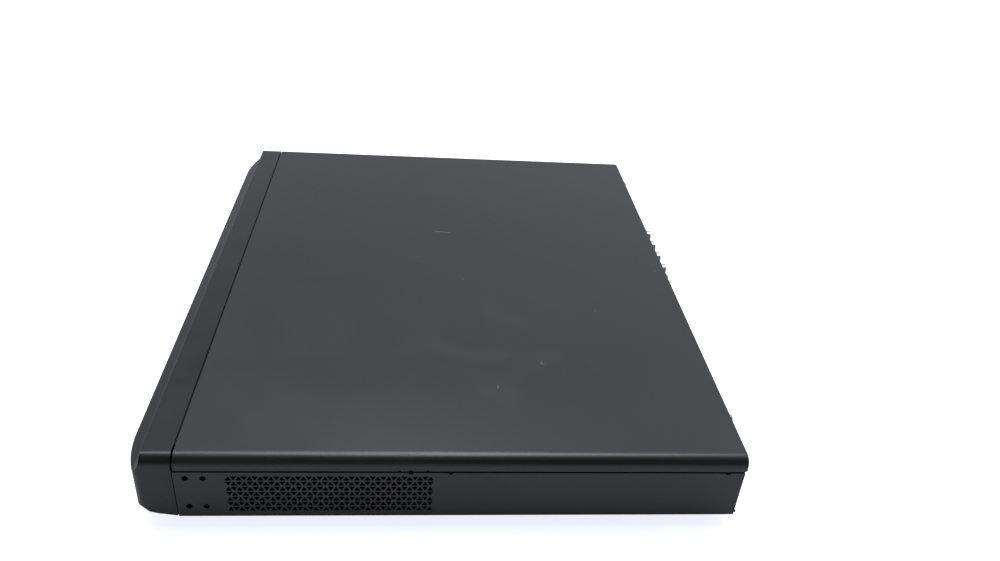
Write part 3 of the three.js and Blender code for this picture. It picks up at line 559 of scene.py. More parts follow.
def make_chassis():
    board_under = node_box("main_board")[0].z
    drive_under = node_box("hard_drive")[0].z
    obj = mesh_object("chassis_shell", *prism(tray_outline(), "Y", -0.1, CHASSIS_REAR))
    combine(obj, [block((-HALF + 0.5, HALF - 0.5), (1.5, 2.5), (BOTTOM + 0.5, WALL_TOP - 0.5))], "UNION")
    posts = [rod((x, y, 0), "Z", FLOOR - 0.5, board_under - 0.3, 3, 24)
             for x, y in MAIN_POSTS + POWER_POSTS]
    pads = [turned([(5.5, FLOOR - 0.5), (5.5, FLOOR + 0.1), (4, drive_under - 0.3)], (x, y, 0), "Z", 28)
            for x, y in drive_holes()]
    combine(obj, posts + pads, "UNION")
    beads = [prism(rounded_box((x - 4, x + 4), (24, 138), 3.9, 6), "Z", FLOOR - 0.4, FLOOR + 0.7)
             for x in (80, 150)]
    beads += [prism(rounded_box((x + 30, x + 72), (30, 128), 6, 6), "Z", FLOOR - 0.4, FLOOR + 0.7)
              for x in BAY_XS]
    combine(obj, beads, "UNION")
    dents = [prism(rounded_box((x - 3, x + 3), (25, 137), 2.9, 6), "Z", BOTTOM - 1, BOTTOM + 0.6)
             for x in (80, 150)]
    dents += [prism(rounded_box((x + 31, x + 71), (31, 127), 5, 6), "Z", BOTTOM - 1, BOTTOM + 0.6)
              for x in BAY_XS]
    bores = [rod((x, y, 0), "Z", BOTTOM - 1, drive_under + 1, 1.8, 24) for x, y in drive_holes()]
    ears = [rod((0, y, z), "X", low, high, EAR_HOLE_R, 24) for y in EAR_HOLE_YS for z in EAR_HOLE_ZS
            for low, high in ((HALF - 4, HALF + 1), (-HALF - 1, -HALF + 4))]
    bites = [tool for y, width, depth in SEAM_BITES_DOWN
             for tool in both_sides((LIP_X + 0.1, HALF + 1), (y - width / 2, y + width / 2),
                                    (WALL_TOP - depth, WALL_TOP + 1))]
    rear = both_sides((LIP_X - 2, LIP_X + 0.3), (PANEL_FRONT - 0.4, CHASSIS_REAR + 1),
                      (WALL_TOP - SHEET - 0.1, TOP))
    cable_slot = [block((100, 130), (0, 4), (14, 20))]
    combine(obj, dents + bores + ears + bites + rear + cable_slot)
    combine(obj, vent_tools())
    dress(obj, PAINT, "case", edge=0.16, segments=2, angle=40, stands_for=["chassis_base"],
          slot="painted_steel")
    tabs = [rod((0, CHASSIS_REAR + 0.2, BOTTOM + 3.2), "X", *ends, 0.8, 20)
            for ends in ((HALF - 2.2, HALF - 0.1), (0.1 - HALF, 2.2 - HALF))]
    solid("corner_tabs", tabs, PAINT, edge=0.1, slot="painted_steel")
    nuts = []
    for side in (-1, 1):
        for z in EAR_HOLE_ZS:
            face, back = side * (HALF - SHEET), side * (HALF - SHEET - 1.6)
            grooves = [(1.28 + 0.14 * (i % 2), back + (face - back) * i / 8) for i in range(9)]
            nuts.append(hoop([(2.7, face), (2.7, back), *grooves], (0, EAR_HOLE_YS[1], z), "X", 24))
    # The nuts use the darkened steel, which paints the shade inside the ear holes.
    solid("ear_screw_nuts", nuts, SHADE_DARKENED_STEEL, edge=0, slot="plated_steel")


def cover_section(inset, bottom, steps=14):
    half = [(HALF - inset, bottom)]
    half += arc(HALF - COVER_BEND, TOP - COVER_BEND, COVER_BEND - inset, 0, 90, steps)
    return mirrored(half)


def make_cover():
    start = SEAM_GAP / 2
    fold = 1.3
    rings = []
    for along, inset in [(start, 0)] + [(COVER_REAR - fold + fold * math.sin(a), fold * (1 - math.cos(a)))
                                        for a in (math.radians(d) for d in (0, 18, 36, 54, 72, 90))]:
        rings.append([(x, along, z) for x, z in cover_section(inset, COVER_EDGE_Z)])
    obj = mesh_object("cover_shell", *loft_data(rings))
    hollow = prism(cover_section(SHEET, COVER_EDGE_Z - 1), "Y", start - 2, COVER_REAR - SHEET)
    combine(obj, [hollow])
    slots = []
    for x in COVER_SCREW_XS:
        top = arc(x, COVER_SCREW_Z, 1.9, 0, 180, 14)
        outline = [(x + 1.9, COVER_EDGE_Z - 1), *top, (x - 1.9, COVER_EDGE_Z - 1)]
        slots.append(prism(outline, "Y", COVER_REAR - 2.5, COVER_REAR + 1))
    bites = [tool for y, width, height in SEAM_BITES_UP
             for tool in both_sides((LIP_X + 0.1, HALF + 1), (y - width / 2, y + width / 2),
                                    (COVER_EDGE_Z - 1, COVER_EDGE_Z + height))]
    combine(obj, slots + bites)
    dress(obj, PAINT, "cover", edge=0.22, segments=3, angle=40, stands_for=["top_cover"],
          slot="painted_steel")


# ---- Front bezel ----
PLAN_FLAT = 158.0
PLAN_R = 71.0
PLAN_CORNER = 2.2
SCOOP_Y = -15.2
SCOOP_WALL_Z = 46.9
SCOOP_LEDGE_Z = 39.2
BEZEL_WALL = 2.2
LIGHTS = [node_box(f"status_light_{i}") for i in (1, 2, 3)]
WINDOW = node_box("remote_window")
FRONT_USB = node_box("front_usb_port")


def front_y(x):
    over = max(0.0, abs(x) - PLAN_FLAT)
    return BEZEL_FRONT + PLAN_R - math.sqrt(PLAN_R ** 2 - over ** 2)


def bezel_plan(inset):
    """The bezel seen from above, with its front moved back by inset."""
    end_y = front_y(HALF) + 0.5
    half = []
    for i in range(25):
        x = PLAN_FLAT * i / 6 if i <= 6 else PLAN_FLAT + (HALF - PLAN_CORNER - PLAN_FLAT) * (i - 6) / 18
        half.append((x, front_y(x)))
    last = Vector(half[-1])
    tip = Vector((HALF - 0.2, last.y + 0.9))
    corner = Vector((HALF, end_y + PLAN_CORNER))
    for i in range(1, 7):
        t = i / 6
        p = last * (1 - t) ** 2 + tip * 2 * t * (1 - t) + corner * t ** 2
        half.append((p.x, p.y))
    moved = [(x, min(y + inset, -0.7)) for x, y in half]
    moved.append((HALF, -0.5))
    return [(-x, y) for x, y in reversed(moved[1:])] + moved


def cubic(a, b, c, d, steps):
    points = []
    for i in range(steps + 1):
        t = i / steps
        weights = ((1 - t) ** 3, 3 * t * (1 - t) ** 2, 3 * t * t * (1 - t), t ** 3)
        points.append(tuple(sum(w * p[k] for w, p in zip(weights, (a, b, c, d))) for k in (0, 1)))
    return points


def scoop_outline():
    hollow = cubic((SCOOP_Y, SCOOP_WALL_Z), (SCOOP_Y, SCOOP_WALL_Z - 3.5),
                   (SCOOP_Y - 1.6, SCOOP_LEDGE_Z + 1.1),
                   (SCOOP_Y - 4.8, SCOOP_LEDGE_Z), 14)
    ahead = BEZEL_FRONT - 2
    fall = (SCOOP_Y - 4.8 - ahead) * 0.26
    return [(SCOOP_Y, TOP + 1), *hollow, (ahead, SCOOP_LEDGE_Z - fall), (ahead, TOP + 1)]


def make_bezel():
    levels = [(9.35, 24), (10.8, 7), (11.8, 3.6), (16.1, 0), (TOP, 0)]
    rings = [[(x, y, z) for x, y in bezel_plan(inset)] for z, inset in levels]
    obj = mesh_object("bezel_shell", *loft_data(rings))
    combine(obj, [prism(cover_section(0, BOTTOM), "Y", -40, 5)], "INTERSECT")
    combine(obj, [prism(scoop_outline(), "X", -HALF - 1, HALF + 1)])
    low_room = [(max(-HALF + BEZEL_WALL, min(HALF - BEZEL_WALL, x)), y + BEZEL_WALL)
                for x, y in bezel_plan(0)]
    combine(obj, [prism(low_room, "Z", 13.6, 35.4)])
    combine(obj, [block((-HALF + 8, HALF - 8), (-12.6, 1), (20, TOP - BEZEL_WALL))])
    tools = [rod(((low.x + high.x) / 2, 0, (low.z + high.z) / 2), "Y", -30, -10, 1.9, 28)
             for low, high in LIGHTS]
    for low, high, radius in ((*WINDOW, 1.2), (*FRONT_USB, 0.6)):
        gap = 0.3
        outline = rounded_box((low.x - gap, high.x + gap), (low.z - gap, high.z + gap), radius)
        tools.append(prism(outline, "Y", -30, -18))
    combine(obj, tools)
    combine(obj, [block((-176, 176), (-1.5, 6), (TOP - 2.4, TOP - 1.4))], "UNION")
    dress(obj, BEZEL_PLASTIC, "case", edge=0.32, segments=3, angle=30, stands_for=["front_bezel"],
          slot="bezel_plastic")


# ---- Rear panel ----
BNCS = [node_box(f"bnc_socket_{i}") for i in range(1, 9)]
JACKS = {"audio_in_jack": RED_PLASTIC, "audio_out_jack": WHITE_PLASTIC}


def middle(name_or_box):
    low, high = node_box(name_or_box) if isinstance(name_or_box, str) else name_or_box
    return (low + high) / 2


def panel_box(name, gap, height=None):
    low, high = node_box(name)
    top = low.z + height if height else high.z
    return rounded_box((low.x - gap, high.x + gap), (low.z - gap, top + gap), 0.5, 3)


def make_panel():
    gap = 0.4
    half = [(HALF - SHEET - gap, FLOOR + gap)]
    half += arc(HALF - COVER_BEND, TOP - COVER_BEND, COVER_BEND - SHEET - gap, 0, 90, 10)
    obj = mesh_object("panel_sheet", *prism(mirrored(half), "Y", PANEL_FRONT, PANEL_BACK))
    low, high = PANEL_FRONT - 1, PANEL_BACK + 1
    tools = [rod(middle(box), "Y", low, high, 6.3, 36) for box in BNCS]
    tools += [rod(middle(jack), "Y", low, high, 5.4, 36) for jack in JACKS]
    tools += [rod((x, 0, COVER_SCREW_Z), "Y", low, high, 1.9) for x in COVER_SCREW_XS]
    vga = middle("vga_port")
    tools += [prism(rounded_box((vga.x - 8.7, vga.x + 8.7), (vga.z - 4.5, vga.z + 4.5), 1.5), "Y", low,
                    high)]
    tools += [rod((vga.x + side * 12.5, 0, vga.z), "Y", low, high, 3.1) for side in (-1, 1)]
    tools += [rod(middle("ground_screw"), "Y", low, high, 2)]
    for name in ("hdmi_port", "network_port", "rear_usb_port", "alarm_terminal"):
        tools.append(prism(panel_box(name, 0.4), "Y", low, high))
    for name, half_width, half_height in (("power_inlet", 13.9, 10.1), ("switch_housing", 6.5, 9.6)):
        centre = middle(name)
        outline = rounded_box((centre.x - half_width, centre.x + half_width),
                              (centre.z - half_height, centre.z + half_height), 0.8)
        tools.append(prism(outline, "Y", low, high))
    combine(obj, tools)
    dress(obj, PAINT, "case", edge=0.15, angle=40, stands_for=["rear_panel"], slot="painted_steel")


CROSS_RECESS = ((1, 0.25), (0.25, 0.25), (0.25, 1), (-0.25, 1), (-0.25, 0.25), (-1, 0.25), (-1, -0.25),
                (-0.25, -0.25), (-0.25, -1), (0.25, -1), (0.25, -0.25), (1, -0.25))


def pan_heads(name, places, axis="Z", sign=1, head=(2.8, 1.7), shank=(1.5, 4.0), body="case", **details):
    """Pan-head screws with a cross recess, from the points under their heads."""
    (head_r, head_h), (shank_r, shank_l) = head, shank
    profile = [(shank_r * 0.7, -shank_l), (shank_r, 0.5 - shank_l), (shank_r, -0.01), (head_r, 0),
               (head_r, head_h * 0.4), (head_r * 0.87, head_h * 0.78), (head_r * 0.5, head_h)]
    obj = merged(name, [turned([(r, sign * along) for r, along in profile], place, axis, 24)
                        for place in places])
    recesses = []
    for place in places:
        start = dict(zip("XYZ", place))[axis]
        a, b = (c for letter, c in zip("XYZ", place) if letter != axis)
        ends = sorted((start + sign * head_h * 0.4, start + sign * (head_h + 1)))
        size = head_r * 0.55
        recesses.append(prism([(a + size * u, b + size * v) for u, v in CROSS_RECESS], axis, *ends))
    combine(obj, recesses)
    return dress(obj, NICKEL, body, edge=0.1, slot="plated_steel", **details)


def make_screws_and_feet():
    for side, x in zip(("left", "middle", "right"), COVER_SCREW_XS):
        name = f"cover_screw_{side}"
        rest = node_box(name)[1].y
        pan_heads(f"{name}_head", [(x, rest - 1.8, COVER_SCREW_Z)], "Y", 1, (3.0, 1.8), (1.5, 7.5),
                  stands_for=[name])
    for name in ("foot_front_left", "foot_front_right", "foot_rear_left", "foot_rear_right"):
        low, high = node_box(name)
        r, centre, top = (high.x - low.x) / 2, (low + high) / 2, high.z
        profile = [(0, 3.4), (4, 3.4), (4.3, 0.3), (4.9, 0), (r - 1.2, 0), (r - 0.4, 0.3), (r, 1.1),
                   (r - 0.35, 4.2), (r - 0.9, 4.6), (r - 0.9, 5.4), (r - 0.5, 5.8), (r - 0.8, top),
                   (0, top)]
        solid(f"{name}_pad", turned(profile, (centre.x, centre.y, 0), "Z", 40), RUBBER, edge=0.2,
              stands_for=[name], slot="foot_rubber")
        pan_heads(f"{name}_screw", [(centre.x, centre.y, 3.3)], "Z", -1, (3.2, 1.9), (1.5, 2.0))


# ---- Sockets along the back ----
def make_bnc_sockets():
    insulators, contacts = [], []
    for i, box in enumerate(BNCS, 1):
        centre, back, reach = middle(box), box[0].y, box[1].y
        profile = [(6, back), (6, back + 2.5), (5.6, back + 2.9), (4.85, back + 2.9), (4.85, reach - 0.3),
                   (4.6, reach), (4.15, reach), (4.05, reach - 0.2), (4.05, back + 3.4),
                   (2.5, back + 3.4), (2.5, back)]
        obj = merged(f"bnc_shell_{i}", [hoop(profile, (centre.x, 0, centre.z), "Y", 36)])
        lugs = [rod((0, reach - 4.4, centre.z), "X",
                    *sorted((centre.x + side * 4.4, centre.x + side * 5.7)), 0.95, 20)
                for side in (-1, 1)]
        combine(obj, lugs, "UNION")
        dress(obj, NICKEL, "case", edge=0.12, stands_for=[f"bnc_socket_{i}"], slot="plated_steel")
        at = (centre.x, 0, centre.z)
        insulators.append(turned([(2.45, back + 0.2), (2.45, reach - 2.8), (0.8, reach - 2.8),
                                  (0.8, reach - 8)],
                                 at, "Y", 24))
        contacts.append(hoop([(0.78, reach - 7.9), (0.78, reach - 2.9), (0.62, reach - 2.7),
                              (0.45, reach - 2.9),
                              (0.45, reach - 7.9)], at, "Y", 16))
    solid("bnc_insulators", insulators, WHITE_PLASTIC, edge=0.1, slot="white_plastic")
    solid("bnc_contacts", contacts, GOLD, edge=0, slot="plated_steel")
    low, high = node_box("video_input_block")
    columns = [(BNCS[i][0].x + BNCS[i + 1][1].x) / 2 for i in range(3)]
    obj = merged("video_input_housing", [block((low.x, high.x), (low.y, high.y), (low.z, high.z))])
    grooves = [block((x - 0.4, x + 0.4), (low.y - 1, high.y - 1), (high.z - 0.7, high.z + 1))
               for x in columns]
    grooves += [block((low.x + 2 + 17 * i, low.x + 15 + 17 * i), (low.y - 1, low.y + 0.8),
                      (low.z + 3, high.z - 3))
                for i in range(4)]
    combine(obj, grooves)
    dress(obj, BLACK_PLASTIC, "case", edge=0.35, stands_for=["video_input_block"], slot="black_plastic")


def make_phono_jacks():
    sleeves = []
    for name, finish in JACKS.items():
        low, high = node_box(name)
        centre, back, reach = (low + high) / 2, low.y, high.y
        at = (centre.x, 0, centre.z)
        profile = [(5, back), (5, back + 2.1), (4.7, back + 2.4), (3.2, back + 2.4), (3.2, reach - 1.6),
                   (1.75, reach - 1.6), (1.75, back + 3.4)]
        solid(f"{name}_body", turned(profile, at, "Y", 40), finish, edge=0.15, stands_for=[name],
              slot="red_plastic" if finish is RED_PLASTIC else "white_plastic")
        sleeves.append(hoop([(4.1, back + 2.2), (4.1, reach - 0.2), (3.95, reach), (3.5, reach),
                             (3.35, reach - 0.2),
                             (3.35, back + 2.2)], at, "Y", 40))
    solid("phono_sleeves", sleeves, NICKEL, edge=0, slot="plated_steel")
    low, high = node_box("audio_out_jack")[0], node_box("audio_in_jack")[1]
    solid("phono_housing", block((low.x, high.x), (276, low.y - 0.3), (16.4, high.z)), BLACK_PLASTIC,
          edge=0.4,
          slot="black_plastic")


def d_outline(centre, inset=0.0):
    """The outline of a D-shaped socket shell, wider along its top."""
    flat = [(-8.2 + inset, 3.9 - inset), (-7.1 + inset, inset - 3.9), (7.1 - inset, inset - 3.9),
            (8.2 - inset, 3.9 - inset)]
    return [(centre.x + x, centre.z + z) for x, z in flat]


def hexagon(x, z, radius):
    return [(x + radius * math.cos(math.radians(a)), z + radius * math.sin(math.radians(a)))
            for a in range(0, 360, 60)]


def make_vga_port():
    low, high = node_box("vga_port")
    centre = Vector(((low.x + high.x) / 2, 0, low.z + 6.2))
    plate_y, reach = PANEL_FRONT - 1.6, high.y
    plate = rounded_box((low.x, high.x), (centre.z - 6.2, centre.z + 6.2), 1.2)
    obj = merged("vga_shell", [prism(plate, "Y", plate_y, plate_y + 1.2)])
    combine(obj, [prism(d_outline(centre), "Y", plate_y + 0.5, reach)], "UNION")
    combine(obj, [prism(d_outline(centre, 0.45), "Y", plate_y - 1, reach + 1)])
    nuts = [prism(hexagon(centre.x + side * 12.5, centre.z, 2.6), "Y", plate_y + 1, reach - 1)
            for side in (-1, 1)]
    combine(obj, nuts, "UNION")
    combine(obj, [rod((centre.x + side * 12.5, 0, centre.z), "Y", plate_y + 1.5, reach + 1, 1.25, 20)
                  for side in (-1, 1)])
    dress(obj, NICKEL, "case", edge=0.18, stands_for=["vga_port"], slot="plated_steel")
    insert = merged("vga_insert", [prism(d_outline(centre, 0.5), "Y", plate_y - 0.5, reach - 1)])
    holes = [rod((centre.x + (column - 2) * 2.29 + (1.14 if row == 1 else 0), 0,
                  centre.z + (row - 1) * 1.98), "Y",
                 reach - 4, reach, 0.48, 12) for row in range(3) for column in range(5)]
    combine(insert, holes)
    dress(insert, BLUE_PLASTIC, "case", edge=0.1)
    solid("vga_housing", block((centre.x - 12.2, centre.x + 12.2), (low.y, plate_y - 0.1),
                               (low.z, centre.z + 6.2)),
          BLACK_PLASTIC, edge=0.4, slot="black_plastic")


def strips(name, centres, half_width, ys, zs, finish=None):
    """A row of flat spring contacts."""
    solid(name, [block((x - half_width, x + half_width), ys, zs) for x in centres], finish or GOLD,
          edge=0.05,
          slot="plated_steel")


def centred(x, pitch, count):
    return [x + (i - (count - 1) / 2) * pitch for i in range(count)]


def open_box(name, box, rooms, radius=0.5, stands_for=()):
    """A folded metal socket shell with rooms cut into its outer end."""
    low, high = box
    obj = merged(name, [prism(rounded_box((low.x, high.x), (low.z, high.z), radius), "Y", low.y, high.y)])
    combine(obj, rooms)
    return dress(obj, NICKEL, "case", edge=0.12, stands_for=stands_for, slot="plated_steel")


def make_digital_ports():
    low, high = node_box("hdmi_port")
    x, z = (low.x + high.x) / 2, (low.z + high.z) / 2
    rim = [(7.05, 2.45), (7.05, -0.5), (5.3, -2.45)]
    room = [(x + a, z + b) for a, b in rim + [(-a, b) for a, b in reversed(rim)]]
    open_box("hdmi_shell", (low, high), [prism(room, "Y", low.y + 4, high.y + 1)], 0.9, ["hdmi_port"])
    solid("hdmi_tongue", block((x - 5.6, x + 5.6), (low.y + 3.5, high.y - 1.3), (z - 0.3, z + 0.9)),
          BLACK_PLASTIC,
          edge=0.1)
    strips("hdmi_contacts", centred(x, 1.0, 10), 0.3, (low.y + 4, high.y - 1.7), (z - 0.42, z - 0.25))

    low, high = node_box("network_port")
    x, z = (low.x + high.x) / 2, (low.z + high.z) / 2
    room = [(5.9, 4.4), (5.9, -4.2), (2, -4.2), (2, -6)]
    outline = [(x + a, z + b) for a, b in room + [(-a, b) for a, b in reversed(room)]]
    inner = [(x + a * 0.93, z + b * 0.93) for a, b in room + [(-a, b) for a, b in reversed(room)]]
    open_box("network_shell", (low, high), [prism(outline, "Y", low.y + 6, high.y + 1)], 0.5,
             ["network_port"])
    liner = merged("network_liner", [prism(outline, "Y", low.y + 6, high.y - 0.5)])
    combine(liner, [prism(inner, "Y", low.y + 8, high.y + 1)])
    dress(liner, BLACK_PLASTIC, "case", edge=0.08)
    solid("network_contacts",
          [prism([(high.y - 11, z + 4.2), (high.y - 2.5, z + 0.8), (high.y - 2.5, z + 1.1),
                  (high.y - 10, z + 4.4)],
                 "X", c - 0.25, c + 0.25) for c in centred(x, 1.02, 8)], GOLD, edge=0.04)
    for side, finish in ((-1, GREEN_PLASTIC), (1, TAPE)):
        solid(f"network_light_{'link' if side < 0 else 'data'}",
              prism(rounded_box((x + side * 4.9 - 1.5, x + side * 4.9 + 1.5), (z - 6.1, z - 4.7), 0.3), "Y",
                    high.y - 4, high.y + 0.12), finish, edge=0.1)

    low, high = node_box("rear_usb_port")
    x, z = (low.x + high.x) / 2, (low.z + high.z) / 2
    rooms = [prism(rounded_box((x - 6.2, x + 6.2), (z + c - 2.55, z + c + 2.55), 0.4), "Y", low.y + 5,
                   high.y + 1)
             for c in (-3.9, 3.9)]
    open_box("rear_usb_shell", (low, high), rooms, 0.6, ["rear_usb_port"])
    tongues = [block((x - 5.2, x + 5.2), (low.y + 4, high.y - 1.2), (z + c + 0.2, z + c + 2))
               for c in (-3.9, 3.9)]
    solid("rear_usb_tongues", tongues, BLACK_PLASTIC, edge=0.12)
    for c, level in ((-3.9, "lower"), (3.9, "upper")):
        strips(f"rear_usb_contacts_{level}", centred(x, 2.3, 4), 0.5, (low.y + 6, high.y - 1.8),
               (z + c + 0.1, z + c + 0.25))

    low, high = node_box("front_usb_port")
    x, z = (low.x + high.x) / 2, (low.z + high.z) / 2
    room = prism(rounded_box((x - 6.1, x + 6.1), (z - 2.4, z + 2.4), 0.3), "Y", low.y - 1, low.y + 9.5)
    open_box("front_usb_shell", (low, high), [room], 0.5, ["front_usb_port"])
    solid("front_usb_tongue", block((x - 5.2, x + 5.2), (low.y + 1.2, high.y - 3), (z + 0.1, z + 1.9)),
          WHITE_PLASTIC,
          edge=0.12)
    strips("front_usb_contacts", centred(x, 2.3, 4), 0.5, (low.y + 1.8, low.y + 9), (z, z + 0.15))


def make_alarm_terminal():
    low, high = node_box("alarm_terminal")
    ways = centred((low.x + high.x) / 2, 5.08, 6)
    shelf, rear, base, top = high.y, PANEL_BACK + 0.6, low.z, high.z
    outline = [(low.y, base), (shelf, base), (shelf, base + 8.4), (rear, base + 10.2), (rear, top),
               (low.y, top)]
    obj = merged("terminal_body", [prism(outline, "X", low.x, high.x)])
    tools = [prism(rounded_box((x - 1.6, x + 1.6), (base + 2.2, base + 6), 0.4), "Y", shelf - 6,
                   shelf + 1) for x in ways]
    tools += [rod((x, 0, base + 12.1), "Y", rear - 1.4, rear + 1, 1.75, 24) for x in ways]
    tools += [block((x - 2.62, x - 2.46), (rear - 4, shelf + 1), (base - 1, top + 1)) for x in ways[1:]]
    combine(obj, tools)
    dress(obj, GREEN_PLASTIC, "case", edge=0.2, stands_for=["alarm_terminal"], slot="green_plastic")
    heads = merged("terminal_screws", [rod((x, 0, base + 12.1), "Y", rear - 2, rear - 0.3, 1.6, 24)
                                       for x in ways])
    combine(heads, [block((x - 1.8, x + 1.8), (rear - 0.9, rear + 1), (base + 11.85, base + 12.35))
                    for x in ways])
    dress(heads, NICKEL, "case", edge=0.1, slot="plated_steel")
    clamps = [prism(rounded_box((x - 1.5, x + 1.5), (base + 2.3, base + 5.9), 0.3), "Y", shelf - 6,
                    shelf - 3.6)
              for x in ways]
    solid("terminal_clamps", clamps, NICKEL, edge=0.15, slot="plated_steel")


def make_ground_screw():
    low, high = node_box("ground_screw")
    x, z = (low.x + high.x) / 2, (low.z + high.z) / 2
    pan_heads("ground_screw_head", [(x, PANEL_BACK + 1.2, z)], "Y", 1, (3.3, 2.4), (1.7, 7.0),
              stands_for=["ground_screw"])
    washer = merged("ground_washer", [hoop([(4.4, PANEL_BACK + 0.2), (4.6, PANEL_BACK + 0.7),
                                            (4.4, PANEL_BACK + 1.1),
                                            (1.8, PANEL_BACK + 1.1), (1.8, PANEL_BACK + 0.2)],
                                           (x, 0, z), "Y", 40)])
    teeth = [rod((x + 4.7 * math.cos(a), 0, z + 4.7 * math.sin(a)), "Y", PANEL_BACK, PANEL_BACK + 2,
                 0.42, 10)
             for a in (2 * math.pi * i / 14 for i in range(14))]
    combine(washer, teeth)
    dress(washer, NICKEL, "case", edge=0.08, slot="plated_steel")


def make_mains_parts():
    low, high = node_box("power_inlet")
    centre = middle("power_inlet")
    x, z, face = centre.x, centre.z, high.y
    obj = merged("inlet_housing", [prism(rounded_box((low.x, high.x), (low.z, high.z), 2.5), "Y",
                                         PANEL_BACK + 0.3, face)])
    combine(obj, [block((x - 13.6, x + 13.6), (PANEL_FRONT - 22, face - 0.5), (z - 9.8, z + 9.8))], "UNION")
    half = [(12, -8.2), (12, 3.8), (8.2, 8.2)]
    mouth = [(x + a, z + b) for a, b in half + [(-a, b) for a, b in reversed(half)]]
    combine(obj, [prism(mouth, "Y", PANEL_FRONT - 14, face + 1)])
    dress(obj, BLACK_PLASTIC, "case", edge=0.45, segments=3, stands_for=["power_inlet"],
          slot="black_plastic")
    blades = [block((x + a - 1, x + a + 1), (PANEL_FRONT - 15, PANEL_FRONT - 2.5), (z + b - 2, z + b + 2))
              for a, b in ((-7, -2), (7, -2), (0, 2.4))]
    tags = [block((x + a - 2.4, x + a + 2.4), (low.y, PANEL_FRONT - 21), (z - 0.4, z + 0.4))
            for a in (-9, 0, 9)]
    solid("inlet_blades", blades + tags, NICKEL, edge=0.35, slot="plated_steel")

    low, high = node_box("switch_housing")
    centre = middle("switch_housing")
    x, z, face = centre.x, centre.z, high.y
    obj = merged("switch_frame", [prism(rounded_box((low.x, high.x), (low.z, high.z), 1.2), "Y",
                                        PANEL_BACK + 0.3, face)])
    combine(obj, [block((x - 6.2, x + 6.2), (PANEL_FRONT - 14, face - 0.5), (z - 9.3, z + 9.3))], "UNION")
    combine(obj, [block((x - 5.2, x + 5.2), (PANEL_FRONT - 4.5, face + 1), (z - 8.5, z + 8.5))])
    dress(obj, BLACK_PLASTIC, "case", edge=0.35, segments=3, stands_for=["switch_housing"],
          slot="black_plastic")
    tags = [block((x - 2.4, x + 2.4), (low.y, PANEL_FRONT - 13), (z + b - 0.4, z + b + 0.4))
            for b in (-4, 4)]
    solid("switch_tags", tags, NICKEL, edge=0.15, slot="plated_steel")

    tilt = math.radians(-8)
    radius, axis_y = 8.2, PANEL_FRONT - 0.8
    outline = arc(0, 0, radius, 50, 100, 10) + arc(0, 0, radius, 260, 310, 10)
    tip_y, tip_z = outline[-1]
    outline += [(tip_y - 0.95 * math.sin(math.pi * t), tip_z * (1 - 2 * t))
                for t in (i / 10 for i in range(1, 10))]
    turned_outline = [(axis_y + y * math.cos(tilt) - b * math.sin(tilt),
                       z + y * math.sin(tilt) + b * math.cos(tilt))
                      for y, b in outline]
    solid("rocker_cap", prism(turned_outline, "X", x - 4.9, x + 4.9), RED_PLASTIC, "rocker", edge=0.45,
          segments=3,
          stands_for=["switch_rocker"], slot="red_plastic")


def make_front_parts():
    for i, (low, high) in enumerate(LIGHTS, 1):
        profile = [(1.6, high.y), (1.6, low.y + 0.5), (1.3, low.y + 0.15), (0.7, low.y)]
        solid(f"light_pipe_{i}", turned(profile, ((low.x + high.x) / 2, 0, (low.z + high.z) / 2), "Y",
                                        28), LIGHT_PIPE,
              edge=0, stands_for=[f"status_light_{i}"], slot="light_pipe")
    low, high = WINDOW
    solid("remote_lens", prism(rounded_box((low.x, high.x), (low.z, high.z), 1), "Y", low.y, high.y),
          DARK_WINDOW,
          edge=0.25, stands_for=["remote_window"], slot="dark_window")


# ---- Boards ----
BOARD_TOP = node_box("main_board")[1].z
ON_BOARD = BOARD_TOP + 0.3


def make_boards():
    for name, posts, finish, slot in (("main_board", MAIN_POSTS, BOARD, "circuit_board"),
                                      ("power_board", POWER_POSTS, PHENOLIC, "phenolic_board")):
        low, high = node_box(name)
        sheet = merged(f"{name}_sheet", [prism(rounded_box((low.x, high.x), (low.y, high.y), 1.5), "Z",
                                               low.z, high.z)])
        combine(sheet, [rod((x, y, 0), "Z", low.z - 1, high.z + 1, 1.7, 20) for x, y in posts])
        dress(sheet, finish, "case", edge=0.12, stands_for=[name], slot=slot)
        pan_heads(f"{name}_screws", [(x, y, high.z) for x, y in posts])
    low, high = node_box("front_board")
    sheet = merged("front_board_sheet", [block((low.x, high.x), (low.y, high.y), (low.z, high.z))])
    usb = middle("front_usb_port")
    notch = block((usb.x - 7.2, usb.x + 7.2), (low.y - 1, high.y + 1), (usb.z - 3.4, usb.z + 3.4))
    combine(sheet, [notch])
    dress(sheet, BOARD, "case", edge=0.12, stands_for=["front_board"], slot="circuit_board")


def chip(x, y, width, depth, height, legs=0, base=None):
    """A chip's body with bevelled top, and its gull-wing legs along two or four sides."""
    base = ON_BOARD if base is None else base
    inset = min(0.35, height / 3)
    low = rounded_box((x - width / 2, x + width / 2), (y - depth / 2, y + depth / 2), 0.4, 2)
    body = loft_data([[(a, b, base + 0.1) for a, b in low], [(a, b, base + height - inset) for a, b in low],
                      [(x + (a - x) * (1 - inset / width), y + (b - y) * (1 - inset / depth), base + height)
                       for a, b in low]])
    wires = []
    for side in (-1, 1):
        for i in range(legs):
            c = x - width / 2 + 0.8 + (width - 1.6) * i / max(1, legs - 1)
            reach = sorted((y + side * (depth / 2 - 0.2), y + side * (depth / 2 + 1)))
            wires.append(block((c - 0.17, c + 0.17), reach, (base, base + 0.3)))
            if width == depth:
                c = y - depth / 2 + 0.8 + (depth - 1.6) * i / max(1, legs - 1)
                reach = sorted((x + side * (width / 2 - 0.2), x + side * (width / 2 + 1)))
                wires.append(block(reach, (c - 0.17, c + 0.17), (base, base + 0.3)))
    return body, wires


